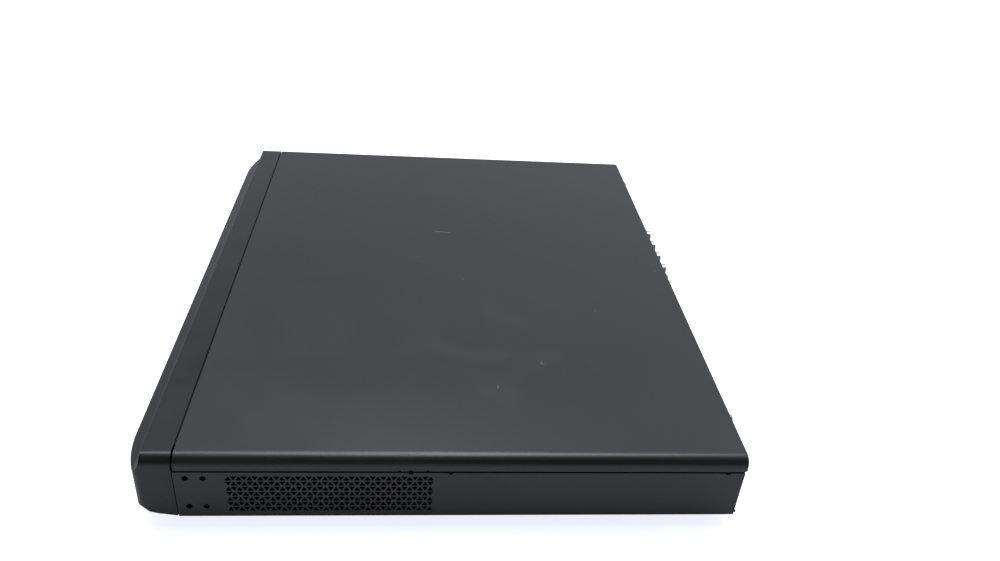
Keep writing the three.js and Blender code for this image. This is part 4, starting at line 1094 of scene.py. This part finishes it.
CHIPS = ((-78, 240, 12, 12, 1.4, 10), (-58, 240, 12, 12, 1.4, 10), (-38, 240, 12, 12, 1.4, 10),
         (-18, 240, 12, 12, 1.4, 10), (78, 208, 8, 12, 1.1, 0), (90, 208, 8, 12, 1.1, 0),
         (78, 228, 8, 12, 1.1, 0),
         (90, 228, 8, 12, 1.1, 0), (112, 222, 6, 5, 1.6, 4), (112, 240, 10, 10, 1.2, 8),
         (-20, 205, 9, 7, 1.5, 6),
         (150, 205, 14, 8, 1.5, 9), (150, 235, 9, 9, 1.2, 7), (56, 262, 7, 5, 1.2, 5),
         (24, 260, 6, 5, 1.5, 4))
CANS = ((-80, 216, 4, 11), (-66, 210, 4, 11), (-2, 178, 4, 10), (10, 178, 4, 10), (66, 180, 3.2, 8),
        (76, 180, 3.2, 8),
        (160, 186, 4, 11), (160, 258, 3.2, 8))
COILS = ((-40, 214, 12, 6), (90, 186, 10, 5), (148, 260, 8, 4))
SOCKETS = ((-50, 190, 16, 6.4, 7), (-20, 190, 16, 6.4, 7), (-84, 198, 14, 7.5, 8.5), (115, 168, 17, 5.5, 6),
           (66, 214, 7, 4, 5))


def can(x, y, radius, height, base=None):
    """An electrolytic capacitor: sleeve with a rolled-in waist, and the bare top inside its lip."""
    base = ON_BOARD if base is None else base
    sleeve = hoop([(radius * 0.94, base), (radius, base + 0.5), (radius, base + 1.1),
                   (radius * 0.93, base + 1.5),
                   (radius, base + 1.9), (radius, base + height - 0.5), (radius * 0.9, base + height),
                   (radius * 0.78, base + height - 0.1), (radius * 0.78, base)], (x, y, 0), "Z", 32)
    top = turned([(radius * 0.77, base + 0.2), (radius * 0.77, base + height - 0.25)], (x, y, 0), "Z", 32)
    return sleeve, top


def scored(obj, tops, depth=0.25):
    """Scores a cross in each round top, from (x, y, z, radius)."""
    tools = []
    for x, y, z, radius in tops:
        size = radius * 0.6
        plus = [(x + size * u * (1 if abs(u) == 1 else 0.25), y + size * v * (1 if abs(v) == 1 else 0.25))
                for u, v in CROSS_RECESS]
        tools.append(prism(plus, "Z", z - depth, z + 1))
    combine(obj, tools)


def make_components():
    bodies, legs = [], []
    for place in CHIPS:
        body, wires = chip(*place)
        bodies.append(body)
        legs += wires
    solid("board_chips", bodies, CHIP, edge=0, slot="black_plastic")
    solid("chip_legs", legs, NICKEL, edge=0, slot="plated_steel")
    cans = [can(*place) for place in CANS]
    solid("board_capacitor_sleeves", [sleeve for sleeve, top in cans], SLEEVE, edge=0,
          slot="capacitor_sleeve")
    tops = merged("board_capacitor_tops", [top for sleeve, top in cans])
    scored(tops, [(x, y, ON_BOARD + height - 0.25, radius * 0.77) for x, y, radius, height in CANS])
    dress(tops, ALUMINIUM, "case", edge=0.08, slot="bare_aluminium")
    chokes = []
    for x, y, size, height in COILS:
        half = size / 2
        chokes.append(prism(rounded_box((x - half, x + half), (y - half, y + half), size * 0.22), "Z",
                            ON_BOARD,
                            ON_BOARD + height))
    solid("board_chokes", chokes, CHIP, edge=0.5, segments=3, slot="black_plastic")
    sockets = merged("board_sockets", [block((x - w / 2, x + w / 2), (y - d / 2, y + d / 2),
                                             (ON_BOARD, ON_BOARD + h))
                                       for x, y, w, d, h in SOCKETS])
    combine(sockets, [block((x - w / 2 + 0.9, x + w / 2 - 0.9), (y - d / 2 + 0.9, y + d / 2 - 0.9),
                            (ON_BOARD + 1.5, ON_BOARD + h + 1)) for x, y, w, d, h in SOCKETS])
    dress(sockets, IVORY, "case", edge=0.2, slot="white_plastic")
    make_small_parts()


def blocked(x, y):
    """Whether something stands on the main board at a point."""
    for cx, cy, w, d in KEEP_CLEAR:
        if abs(x - cx) < w / 2 + 2.2 and abs(y - cy) < d / 2 + 2.2:
            return True
    return False


def keep_clear():
    areas = [(x, y, w, d) for x, y, w, d, *_ in CHIPS + SOCKETS]
    areas += [(x, y, 2 * r, 2 * r) for x, y, r, _ in CANS]
    areas += [(x, y, s, s) for x, y, s, _ in COILS]
    areas += [(x, y, 7, 7) for x, y in MAIN_POSTS]
    for name in ("heat_sink", "coin_cell", "video_input_block", "vga_port", "hdmi_port", "network_port",
                 "rear_usb_port", "alarm_terminal"):
        low, high = node_box(name)
        areas.append(((low.x + high.x) / 2, (low.y + high.y) / 2, high.x - low.x, high.y - low.y))
    areas.append((-5, 282, 12, 14))
    return areas


KEEP_CLEAR = keep_clear()


def make_small_parts():
    """Rows of small resistors and capacitors between the larger parts."""
    low, high = node_box("main_board")
    resistors, ceramics, ends = [], [], []
    for _ in range(120):
        x0 = low.x + 6 + rng.random() * (high.x - low.x - 14)
        y0 = low.y + 5 + rng.random() * (high.y - low.y - 12)
        across = rng.random() < 0.5
        ceramic = rng.random() < 0.5
        for i in range(rng.choice((1, 2, 3, 4))):
            x, y = (x0, y0 + i * 1.9) if across else (x0 + i * 1.9, y0)
            if blocked(x, y) or x > high.x - 3 or y > high.y - 3:
                continue
            half = (0.85, 0.42) if across else (0.42, 0.85)
            height = 0.8 if ceramic else 0.45
            middle_part = block((x - half[0] * 0.66 if across else x - half[0],
                                 x + half[0] * 0.66 if across else x + half[0]),
                                (y - half[1] if across else y - half[1] * 0.66,
                                 y + half[1] if across else y + half[1] * 0.66),
                                (BOARD_TOP, BOARD_TOP + height))
            (ceramics if ceramic else resistors).append(middle_part)
            for side in (-1, 1):
                if across:
                    xs, ys = sorted((x + side * half[0] * 0.64, x + side * half[0])), (y - half[1],
                                                                                       y + half[1])
                else:
                    xs, ys = (x - half[0],
                              x + half[0]), sorted((y + side * half[1] * 0.64, y + side * half[1]))
                ends.append(block(xs, ys, (BOARD_TOP, BOARD_TOP + height + 0.03)))
    solid("board_resistors", resistors, CHIP, edge=0, slot="black_plastic")
    solid("board_ceramics", ceramics, CERAMIC, edge=0)
    solid("board_solder_ends", ends, NICKEL, edge=0, slot="plated_steel")


def make_processor_cooler():
    low, high = node_box("processor")
    centre = (low + high) / 2
    half = (high.x - low.x) / 2
    solid("processor_package", [prism(rounded_box((centre.x - half, centre.x + half),
                                                  (centre.y - half, centre.y + half),
                                                  0.8), "Z", low.z, high.z)], CHIP, edge=0.2,
          stands_for=["processor"], slot="black_plastic")
    low, high = node_box("heat_sink")
    fins = 11
    thick = 1.3
    pitch = (high.x - low.x - thick) / (fins - 1)
    obj = merged("heat_sink_fins", [block((low.x, high.x), (low.y, high.y), (low.z, high.z))])
    gaps = [block((low.x + thick + pitch * i, low.x + pitch * (i + 1)), (low.y - 1, high.y + 1),
                  (low.z + 3, high.z + 1))
            for i in range(fins - 1)]
    combine(obj, gaps)
    cuts = [block((low.x - 1, high.x + 1), (y - 0.9, y + 0.9), (low.z + 4, high.z + 1))
            for y in (low.y + 10.5, low.y + 21, low.y + 31.5)]
    combine(obj, cuts)
    dress(obj, ALUMINIUM, "case", edge=0.2, stands_for=["heat_sink"], slot="bare_aluminium")

    low, high = node_box("fan_frame")
    x, y = (low.x + high.x) / 2, (low.y + high.y) / 2
    at = (x, y, 0)
    corner = 16
    obj = merged("fan_housing", [prism(rounded_box((low.x, high.x), (low.y, high.y), 3.5, 6), "Z",
                                       low.z, high.z)])
    tools = [turned([(19.6, low.z - 1), (19.6, low.z), (18.8, low.z + 1.2), (18.8, high.z - 1.2),
                     (19.6, high.z),
                     (19.6, high.z + 1)], at, "Z", 56)]
    corners = [(x + a * corner, y + b * corner) for a in (-1, 1) for b in (-1, 1)]
    tools += [rod((a, b, 0), "Z", low.z - 1, high.z + 1, 1.8, 20) for a, b in corners]
    combine(obj, tools)
    spokes = []
    for angle in (30, 150, 270):
        turn = math.radians(angle)
        along, over = Vector((math.cos(turn), math.sin(turn))), Vector((-math.sin(turn), math.cos(turn)))
        foot = [along * r + over * w for r, w in ((8, -1.6), (19.3, -0.8), (19.3, 0.8), (8, 1.6))]
        spokes.append(prism([(x + p.x, y + p.y) for p in foot], "Z", low.z + 0.05, low.z + 1.4))
    combine(obj, spokes, "UNION")
    combine(obj, [turned([(10, low.z), (10, low.z + 1.6)], at, "Z", 40)], "UNION")
    dress(obj, BLACK_PLASTIC, "case", edge=0.25, stands_for=["fan_frame"], slot="black_plastic")
    pan_heads("fan_screws", [(a, b, high.z) for a, b in corners], head=(3, 1.6), shank=(1.5, 8))

    low, high = node_box("fan_rotor")
    hub_r, tip_r, blades = 9.5, 18.0, 7
    hub_low = low.z
    parts = []
    for i in range(blades):
        rings = []
        for r in (hub_r - 0.6, 11, 13, 15, 17, tip_r):
            part = (r - hub_r) / (tip_r - hub_r)
            sweep = 0.62 - 0.1 * part
            lead_z, trail_z = hub_low + 6.6, hub_low + 0.6 + 0.5 * part
            start = 2 * math.pi * i / blades + 0.16 * part
            section = []
            for k in range(9):
                t = k / 8
                angle = start + sweep * t
                z = lead_z + (trail_z - lead_z) * (t + 0.16 * math.sin(math.pi * t))
                section.append((angle, z))
            thick = 0.38 - 0.12 * part
            ring = [(x + r * math.cos(a), y + r * math.sin(a), z + thick) for a, z in section]
            ring += [(x + r * math.cos(a), y + r * math.sin(a), z - thick) for a, z in reversed(section)]
            rings.append(ring)
        parts.append(loft_data(rings))
    obj = merged("fan_blades", [turned([(hub_r, hub_low), (hub_r, high.z - 1), (hub_r - 0.3, high.z - 0.3),
                                        (hub_r - 1, high.z), (6.4, high.z), (6.4, high.z - 0.15)], at,
                                       "Z", 48)])
    combine(obj, parts, "UNION")
    dress(obj, BLACK_PLASTIC, "fan", edge=0.12, stands_for=["fan_rotor"], slot="black_plastic")


def make_coin_cell():
    low, high = node_box("coin_cell")
    x, y, r = (low.x + high.x) / 2, (low.y + high.y) / 2, (high.x - low.x) / 2
    solid("coin_cell_can", turned([(r - 0.5, low.z), (r, low.z + 0.5), (r, high.z - 0.9),
                                   (r - 0.3, high.z - 0.5),
                                   (r - 1.3, high.z - 0.4), (r - 1.5, high.z)], (x, y, 0), "Z", 48),
          NICKEL, edge=0.1,
          stands_for=["coin_cell"], slot="plated_steel")
    clips = [hoop([(r + 1.6, BOARD_TOP + 0.1), (r + 1.6, low.z + 1.4), (r + 0.15, low.z + 1.4),
                   (r + 0.15, BOARD_TOP + 0.1)], (x, y, 0), "Z", 48)]
    obj = merged("coin_cell_holder", clips)
    combine(obj, [block((x - 4.5, x + 4.5), (y - r - 3, y - r + 3), (BOARD_TOP - 1, high.z))])
    dress(obj, BLACK_PLASTIC, "case", edge=0.2, slot="black_plastic")
    arm = [(y + r + 3, BOARD_TOP + 0.1), (y + r + 3, high.z + 0.25), (y + 2, high.z + 0.25),
           (y + 2, high.z + 0.6),
           (y + r + 3.35, high.z + 0.6), (y + r + 3.35, BOARD_TOP + 0.1)]
    solid("coin_cell_clip", prism(arm, "X", x - 2, x + 2), NICKEL, edge=0.12, slot="plated_steel")


def make_power_parts():
    low, high = node_box("power_capacitor")
    x, y, r = (low.x + high.x) / 2, (low.y + high.y) / 2, (high.y - low.y) / 2
    sleeve, top = can(x, y, r, high.z - low.z, low.z)
    solid("mains_capacitor_sleeve", sleeve, SLEEVE, edge=0, stands_for=["power_capacitor"],
          slot="capacitor_sleeve")
    obj = merged("mains_capacitor_top", [top])
    scored(obj, [(x, y, high.z - 0.25, r * 0.77)], 0.3)
    dress(obj, ALUMINIUM, "case", edge=0.1, slot="bare_aluminium")

    low, high = node_box("power_transformer")
    x, y = (low.x + high.x) / 2, (low.y + high.y) / 2
    cheeks = [block((low.x + 1, high.x - 1), (low.y + 1, high.y - 1), (z, z + 1.6))
              for z in (low.z, low.z + 13.5)]
    solid("transformer_bobbin", cheeks, BLACK_PLASTIC, edge=0.3, slot="black_plastic")
    core = merged("transformer_core", [block((low.x, high.x), (y - 6, y + 6), (low.z + 2, high.z))])
    combine(core, [block((low.x + 4, high.x - 4), (y - 8, y + 8), (low.z + 1, high.z - 5))])
    dress(core, FERRITE, "case", edge=0.4, segments=3)
    winding = prism(rounded_box((low.x + 3, high.x - 3), (low.y + 2.5, high.y - 2.5), 5, 6), "Z",
                    low.z + 1.6,
                    low.z + 13.5)
    solid("transformer_winding", winding, TAPE, edge=0.3, stands_for=["power_transformer"],
          slot="yellow_tape")
    wrap = merged("transformer_wrap", [block((low.x - 0.15, high.x + 0.15), (y - 4.2, y + 4.2),
                                             (high.z - 9, high.z + 0.15))])
    combine(wrap, [block((low.x + 0.01, high.x - 0.01), (y - 5, y + 5), (high.z - 10, high.z - 0.01))])
    dress(wrap, TAPE, "case", edge=0.05, slot="yellow_tape")

    low, high = node_box("power_heat_sink")
    outline = [(low.x, low.z), (high.x, low.z), (high.x, low.z + 2), (low.x + 2, low.z + 2),
               (low.x + 2, high.z),
               (low.x, high.z)]
    obj = merged("power_sink_sheet", [prism(outline, "Y", low.y, high.y)])
    combine(obj, [rod((0, y, low.z + 17), "X", low.x - 1, low.x + 3, 1.7, 20)
                  for y in (low.y + 11, low.y + 33)])
    combine(obj, [block((low.x - 1, low.x + 3), (low.y + c - 0.8, low.y + c + 0.8),
                        (high.z - 5, high.z + 1))
                  for c in (8, 16, 28, 36)])
    dress(obj, ALUMINIUM, "case", edge=0.25, stands_for=["power_heat_sink"], slot="bare_aluminium")
    ys = (low.y + 11, low.y + 33)
    packs = [block((low.x + 2, low.x + 6.4), (y - 5, y + 5), (low.z + 5, low.z + 14.5)) for y in ys]
    solid("power_transistors", packs, CHIP, edge=0.4, slot="black_plastic")
    tabs = [block((low.x + 2.05, low.x + 3.3), (y - 5, y + 5), (low.z + 14, low.z + 20.5)) for y in ys]
    legs = [block((low.x + 3.9, low.x + 4.4), (y + c - 0.35, y + c + 0.35), (BOARD_TOP, low.z + 5.2))
            for y in ys
            for c in (-2.54, 0, 2.54)]
    solid("transistor_tabs", tabs + legs, NICKEL, edge=0.12, slot="plated_steel")
    pan_heads("transistor_screws", [(low.x + 3.3, y, low.z + 17) for y in ys], "X", 1, (2.6, 1.6),
              (1.4, 3.0))

    cans = [can(x, y, 4.6, 16) for x, y in ((-132, 187), (-144, 187), (-110, 250))]
    solid("output_capacitor_sleeves", [sleeve for sleeve, top in cans], SLEEVE, edge=0,
          slot="capacitor_sleeve")
    solid("output_capacitor_tops", [top for sleeve, top in cans], ALUMINIUM, edge=0, slot="bare_aluminium")
    ring = [(9 + 3 * math.cos(a), ON_BOARD + 4.5 + 3.4 * math.sin(a))
            for a in (math.pi * i / 6 for i in range(12))]
    choke = hoop(ring, (-166, 205, 0), "Z", 40)
    solid("mains_choke_core", choke, FERRITE, edge=0)
    turns = []
    for i in range(22):
        angle = math.radians(20 + 320 * i / 21)
        centre = Vector((-166 + 9 * math.cos(angle), 205 + 9 * math.sin(angle), ON_BOARD + 4.5))
        outward = Vector((math.cos(angle), math.sin(angle), 0))
        loop = [centre + outward * 3.7 * math.cos(a) + Vector((0, 0, 4.1)) * math.sin(a)
                for a in (2 * math.pi * k / 16 for k in range(16))]
        turns.append(swept(loop, 0.55, 8, closed=True))
    solid("mains_choke_winding", turns, COPPER, edge=0)
    solid("mains_fuse_caps", [rod((-126, 0, ON_BOARD + 3), "Y", *ends, 2.6, 24)
                              for ends in ((232, 237), (247, 252))],
          NICKEL, edge=0.2, slot="plated_steel")
    solid("mains_fuse_glass", [rod((-126, 0, ON_BOARD + 3), "Y", 236.8, 247.2, 2.45, 24)], CLEAR_GLASS,
          edge=0)
    housings = [(-118, 185, 12, 7, 8.5), (-106, 192, 10, 7, 8.5), (-134, 246, 9, 8, 8.5)]
    obj = merged("power_sockets", [block((x - w / 2, x + w / 2), (y - d / 2, y + d / 2),
                                         (ON_BOARD, ON_BOARD + h))
                                   for x, y, w, d, h in housings])
    combine(obj, [block((x - w / 2 + 0.9, x + w / 2 - 0.9), (y - d / 2 + 0.9, y + d / 2 - 0.9),
                        (ON_BOARD + 1.5, ON_BOARD + h + 1)) for x, y, w, d, h in housings])
    dress(obj, IVORY, "case", edge=0.2, slot="white_plastic")


# ---- Hard drive ----
def make_hard_drive():
    low, high = node_box("hard_drive")
    length, width = high.y - low.y, high.x - low.x
    lid_base = high.z - 2.5
    rounded = rounded_box((low.x, high.x), (low.y, high.y), 3, 6)
    obj = merged("drive_body", [prism(rounded, "Z", low.z, lid_base)])
    tools = [block((low.x + 8, high.x - 8), (low.y - 1, low.y + 62), (low.z - 1, low.z + 1.6)),
             block((low.x + 30, low.x + 74), (high.y - 6, high.y + 1), (low.z - 1, low.z + 5))]
    tools += [rod((0, low.y + y, low.z + 6.35), "X", *ends, 1.5, 20) for y in (28.5, 70, 130)
              for ends in ((low.x - 1, low.x + 3.5), (high.x - 3.5, high.x + 1))]
    tools += both_ends(low, high, ((low.y + 36, low.y + 62), (low.y + 78, low.y + 122)),
                       (low.z + 3, lid_base - 3))
    tools += [rod((x, y, 0), "Z", low.z - 1, low.z + 3, 1.6, 20) for x, y in drive_holes(BAY_XS[:1])]
    combine(obj, tools)
    dress(obj, CASTING, "case", edge=0.5, segments=3, stands_for=["hard_drive"], slot="drive_casting")
    lid_plan = rounded_box((low.x + 4, high.x - 4), (low.y + 4, high.y - 3), 5, 6)
    lid = merged("drive_lid", [prism(lid_plan, "Z", lid_base - 0.3, high.z - 0.7)])
    platter = (low.x + width / 2, low.y + length - 52, 0)
    raised = [turned([(44, high.z - 1.2), (43, high.z - 0.1), (42, high.z)], platter, "Z", 64),
              prism(rounded_box((low.x + 14, high.x - 14), (low.y + 12, low.y + 52), 9, 6), "Z",
                    high.z - 1.2, high.z - 0.1)]
    for form in raised:
        combine(lid, [form], "UNION")
    combine(lid, [hoop([(15, high.z - 0.5), (15, high.z + 1), (12.5, high.z + 1), (12.5, high.z - 0.5)],
                       platter, "Z", 48),
                  hoop([(6, high.z - 0.5), (6, high.z + 1), (4.6, high.z + 1), (4.6, high.z - 0.5)],
                       platter, "Z", 40)])
    dress(lid, DRIVE_LID, "case", edge=0.35, segments=3)
    rim = [(low.x + 8.5, low.y + 8.5), (high.x - 8.5, low.y + 8.5), (low.x + 8.5, low.y + 74),
           (high.x - 8.5, low.y + 74),
           (low.x + 8.5, high.y - 8), (high.x - 8.5, high.y - 8)]
    pan_heads("drive_lid_screws", [(x, y, high.z - 0.9) for x, y in rim], head=(2.1, 0.7), shank=(1, 2))
    board = prism(rounded_box((low.x + 8.4, high.x - 8.4), (low.y + 1, low.y + 61.6), 2), "Z",
                  low.z + 0.2, low.z + 1.4)
    solid("drive_circuit_board", board, BOARD, edge=0.1, slot="circuit_board")
    x, y = low.x + 52, high.y
    tongue = block((x - 18, x + 18), (y - 7, y - 0.6), (low.z + 2.4, low.z + 4))
    solid("drive_connector", tongue, BLACK_PLASTIC, edge=0.25, slot="black_plastic")
    strips("drive_connector_contacts", [x - 16 + 1.27 * i for i in range(15)] + [x + 7 + 1.27 * i
                                                                                 for i in range(7)],
           0.4, (y - 5, y - 0.9), (low.z + 2.25, low.z + 2.5))
    pan_heads("drive_mounting_screws", [(x, y, BOTTOM + 0.1) for x, y in drive_holes(BAY_XS[:1])], "Z",
              -1, (2.8, 1.6),
              (1.5, 5.0))


def both_ends(low, high, spans, zs):
    """Shallow pockets along both long sides of a body."""
    return [block(xs, span, zs) for span in spans
            for xs in ((low.x - 1, low.x + 0.8), (high.x - 0.8, high.x + 1))]


# ---- Leads ----
def smooth_path(points, steps=6):
    """A centripetal curve through points."""
    points = [Vector(p) for p in points]
    ends = [points[0] * 2 - points[1], *points, points[-1] * 2 - points[-2]]
    path = []
    for i in range(1, len(ends) - 2):
        p = ends[i - 1:i + 3]
        t = [0.0]
        for a, b in zip(p, p[1:]):
            t.append(t[-1] + math.sqrt((b - a).length))
        for k in range(steps):
            u = t[1] + (t[2] - t[1]) * k / steps
            a = [p[j] * ((t[j + 1] - u) / (t[j + 1] - t[j])) + p[j + 1] * ((u - t[j]) / (t[j + 1] - t[j])) for j in range(3)]
            b = [a[j] * ((t[j + 2] - u) / (t[j + 2] - t[j])) + a[j + 1] * ((u - t[j]) / (t[j + 2] - t[j])) for j in range(2)]
            path.append(b[0] * ((t[2] - u) / (t[2] - t[1])) + b[1] * ((u - t[1]) / (t[2] - t[1])))
    path.append(points[-1])
    return path


def frames_along(path, across, closed=False):
    """At each point of a path, two directions across it, carried along without twisting."""
    frames = []
    side = Vector(across)
    for i, here in enumerate(path):
        after = path[(i + 1) % len(path)] if closed or i + 1 < len(path) else here
        before = path[i - 1] if closed or i else here
        along = (after - before).normalized()
        side = (side - along * side.dot(along)).normalized()
        frames.append((here, side, along.cross(side)))
    return frames


def swept(path, section, sides=10, across=(0.3, 0.5, 0.81), closed=False):
    """A solid along a path, of a round section's radius or a list of (across, over) points."""
    outline = arc(0, 0, section, 0, 360, sides)[:-1] if isinstance(section, (int, float)) else section
    rings = [[tuple(here + side * a + over * b) for a, b in outline]
             for here, side, over in frames_along(path, across, closed)]
    if not closed:
        return loft_data(rings)
    verts, faces = loft_data(rings)
    count = len(outline)
    last = (len(rings) - 1) * count
    joins = [(last + i, last + (i + 1) % count, (i + 1) % count, i) for i in range(count)]
    return verts, faces[:-2] + joins


def beside(path, a, b, across):
    """The same path, moved sideways by a and over by b."""
    return [here + side * a + over * b for here, side, over in frames_along(path, across)]


DATA_ROUTE = ((-104, 160, 16.2), (-104, 164, 17), (-98, 168, 23), (-80, 174, 25), (-60, 186, 25),
              (-50, 190, 23),
              (-50, 190, 17))
DRIVE_POWER_ROUTE = ((-130, 160, 16.2), (-130, 164, 18), (-128, 170, 24), (-119, 182, 26), (-118, 185, 23),
                     (-118, 185, 17.2))
BOARD_POWER_ROUTE = ((-106, 192, 16.8), (-106, 192, 22), (-101, 193, 25), (-90, 196, 25), (-84, 198, 22),
                     (-84, 198, 16.8))
MAINS_ROUTE = ((-147, 260.8, 25), (-147, 257.4, 25), (-143, 254, 25), (-138, 251, 25), (-134, 246, 22),
               (-134, 246, 16.9))
FRONT_ROUTE = ((115, 168, 16.9), (115, 164, 19), (115, 156, 14), (115, 146, 10.6), (115, 100, 10.2),
               (115, 40, 10.2),
               (115, 14, 10.6), (115, 6, 16.4), (115, 0, 17), (115, -10, 17), (115, -14.3, 17))


def make_leads():
    path = smooth_path(DATA_ROUTE)
    flat = rounded_box((-2.6, 2.6), (-0.75, 0.75), 0.7, 3)
    solid("data_lead", swept(path, flat, across=(1, 0, 0)), RED_JACKET, edge=0,
          stands_for=["drive_data_cable"],
          slot="red_cable")
    for name, route, spacing, radius, colours, stands, slot in (
        ("drive_power_wire", DRIVE_POWER_ROUTE, 0.85, 0.78,
         (YELLOW_JACKET, BLACK_JACKET, BLACK_JACKET, RED_JACKET),
         "drive_power_cable", "yellow_cable"),
        ("board_power_wire", BOARD_POWER_ROUTE, 0.72, 0.66,
         (RED_JACKET, BLACK_JACKET, BLACK_JACKET, YELLOW_JACKET),
         "board_power_cable", "black_cable"),
    ):
        path = smooth_path(route)
        for i, (colour, (a, b)) in enumerate(zip(colours, ((-1, -1), (1, -1), (-1, 1), (1, 1))), 1):
            wire = swept(beside(path, a * spacing, b * spacing, (1, 0, 0)), radius, 12, (1, 0, 0))
            solid(f"{name}_{i}", wire, colour, edge=0, stands_for=[stands] if i == 1 else [], slot=slot)
    path = smooth_path(MAINS_ROUTE)
    for i, (colour, side) in enumerate(((BROWN_JACKET, -1), (BLUE_JACKET, 1)), 1):
        wire = swept(beside(path, side * 0.85, 0, (0, 0, 1)), 0.8, 12, (0, 0, 1))
        solid(f"mains_wire_{i}", wire, colour, edge=0, stands_for=["mains_lead"] if i == 1 else [],
              slot="brown_cable")
    cores, pitch = 10, 1.4
    rim = []
    for i in range(cores):
        rim += [((i - (cores - 1) / 2) * pitch + 0.68 * math.cos(a), 0.5 * math.sin(a))
                for a in (math.radians(d) for d in (150, 90, 30))]
    ribbon = rim + [(a, -b) for a, b in reversed(rim)]
    solid("front_ribbon", swept(smooth_path(FRONT_ROUTE, 8), ribbon, across=(1, 0, 0)), RIBBON, edge=0,
          stands_for=["front_panel_cable"], slot="grey_ribbon")
    plugs = [block((-109.5, -98.5), (159.2, 163.4), (13.2, 19)),
             block((-141, -119), (159.2, 163.4), (13.2, 19)),
             block((-57, -43), (187.4, 192.6), (18.4, 25.5)),
             block((-123, -113), (182.4, 187.6), (18.4, 25)),
             block((-90, -78), (195.4, 200.6), (18.4, 25.5)),
             block((-110, -102), (189.4, 194.6), (18.4, 25)),
             block((-137.8, -130.2), (243, 249), (18.4, 24)),
             block((107.6, 122.4), (166, 170.2), (17.8, 22.6)),
             block((107.6, 122.4), (-14.5, -9.5), (14.8, 19.4))]
    solid("lead_plugs", plugs, BLACK_PLASTIC, edge=0.45, segments=3, slot="black_plastic")


# ---- Stage ----
CAMERA_AT = (0.49864, -0.02191, 0.34791)
CAMERA_TURN = (58.204, -4.244, 85.853)
CAMERA_LENS = 30.457
COOL_WHITE = (0.91, 0.93, 1.0)
FLOOR_GLOW_SEEN = 0.9
ROOM_SHADE = 0.1
ROOM_LOW, ROOM_HIGH = 0.63, 2.1
ROOM_RISE = (0.68, 0.95)
ROOM_FRONT, ROOM_REAR = 0.74, 1.12
WINDOW_WAY = (-0.72, -0.62, 0.31)
WINDOW_GLOW = 0.2
LAMP_AT = (-0.2, 0.0, 1.4)
LAMPS = (((0.32, 1.35), 9.5), ((1.1, 0.25), 7.0))
LAMP_TILT = -12


def make_camera():
    camera = bpy.data.objects.new("camera", bpy.data.cameras.new("camera"))
    camera.location = CAMERA_AT
    camera.rotation_euler = [math.radians(angle) for angle in CAMERA_TURN]
    camera.data.lens = CAMERA_LENS
    camera.data.clip_start = 0.01
    bpy.context.scene.collection.objects.link(camera)
    bpy.context.scene.camera = camera


def make_floor():
    floor = mesh_object("floor", *prism([(-6000, -6000), (6000, -6000), (6000, 6000), (-6000, 6000)],
                                        "Z", -10, -0.02))
    white = Finish("floor_white", (0.68, 0.68, 0.69), 0.9)
    white.bump(white.noise(40, 2), 0.02)
    white.surface.inputs["Emission Color"].default_value = (*COOL_WHITE, 1)
    ray = white.node("ShaderNodeLightPath").outputs["Is Camera Ray"]
    white.link(white.maths("MULTIPLY", ray, FLOOR_GLOW_SEEN), white.surface.inputs["Emission Strength"])
    floor.data.materials.append(white.made)


def make_lamps():
    for i, (size, power) in enumerate(LAMPS, 1):
        light = bpy.data.lights.new(f"softbox_{i}", "AREA")
        light.shape = "RECTANGLE"
        light.size, light.size_y = size
        light.energy = power
        light.color = COOL_WHITE
        lamp = bpy.data.objects.new(f"softbox_{i}", light)
        lamp.location = LAMP_AT
        lamp.rotation_euler = (0, math.radians(LAMP_TILT), 0)
        lamp.visible_camera = False
        bpy.context.scene.collection.objects.link(lamp)


def make_world():
    """A room dim on the near side, brighter overhead on the far side, with a low window on the left."""
    world = bpy.data.worlds.new("studio")
    bpy.context.scene.world = world
    world.use_nodes = True
    room = Graph(world.node_tree)
    way = room.node("ShaderNodeTexCoord").outputs["Generated"]

    def towards(direction):
        made = room.node("ShaderNodeVectorMath", operation="DOT_PRODUCT")
        room.link(way, made.inputs[0])
        made.inputs[1].default_value = direction
        return made.outputs["Value"]

    far = room.span(towards((-1, 0, 0)), -0.3, 0.4)
    wall = room.maths("MULTIPLY", far, room.span(towards((0, 0, 1)), *ROOM_RISE, ROOM_LOW, ROOM_HIGH))
    wall = room.maths("MULTIPLY", wall, room.span(towards((0, 1, 0)), -0.4, 0.4, ROOM_FRONT, ROOM_REAR))
    pane = room.span(towards(WINDOW_WAY), 0.87, 0.98, 0, WINDOW_GLOW)
    lit = room.maths("ADD", room.maths("ADD", wall, pane), ROOM_SHADE)
    glow = room.node("ShaderNodeVectorMath", operation="SCALE")
    glow.inputs[0].default_value = COOL_WHITE
    room.link(lit, glow.inputs["Scale"])
    ray = room.node("ShaderNodeLightPath").outputs["Is Camera Ray"]
    seen = room.mixed(ray, glow.outputs["Vector"], (1.0, 1.0, 1.0))
    room.link(seen, world.node_tree.nodes["Background"].inputs["Color"])
    bpy.context.scene.view_settings.view_transform = "Standard"


make_camera()
make_world()
make_floor()
make_lamps()
make_chassis()
make_cover()
make_bezel()
make_panel()
make_screws_and_feet()
make_bnc_sockets()
make_phono_jacks()
make_vga_port()
make_digital_ports()
make_alarm_terminal()
make_ground_screw()
make_mains_parts()
make_front_parts()
make_boards()
make_components()
make_processor_cooler()
make_coin_cell()
make_power_parts()
make_hard_drive()
make_leads()
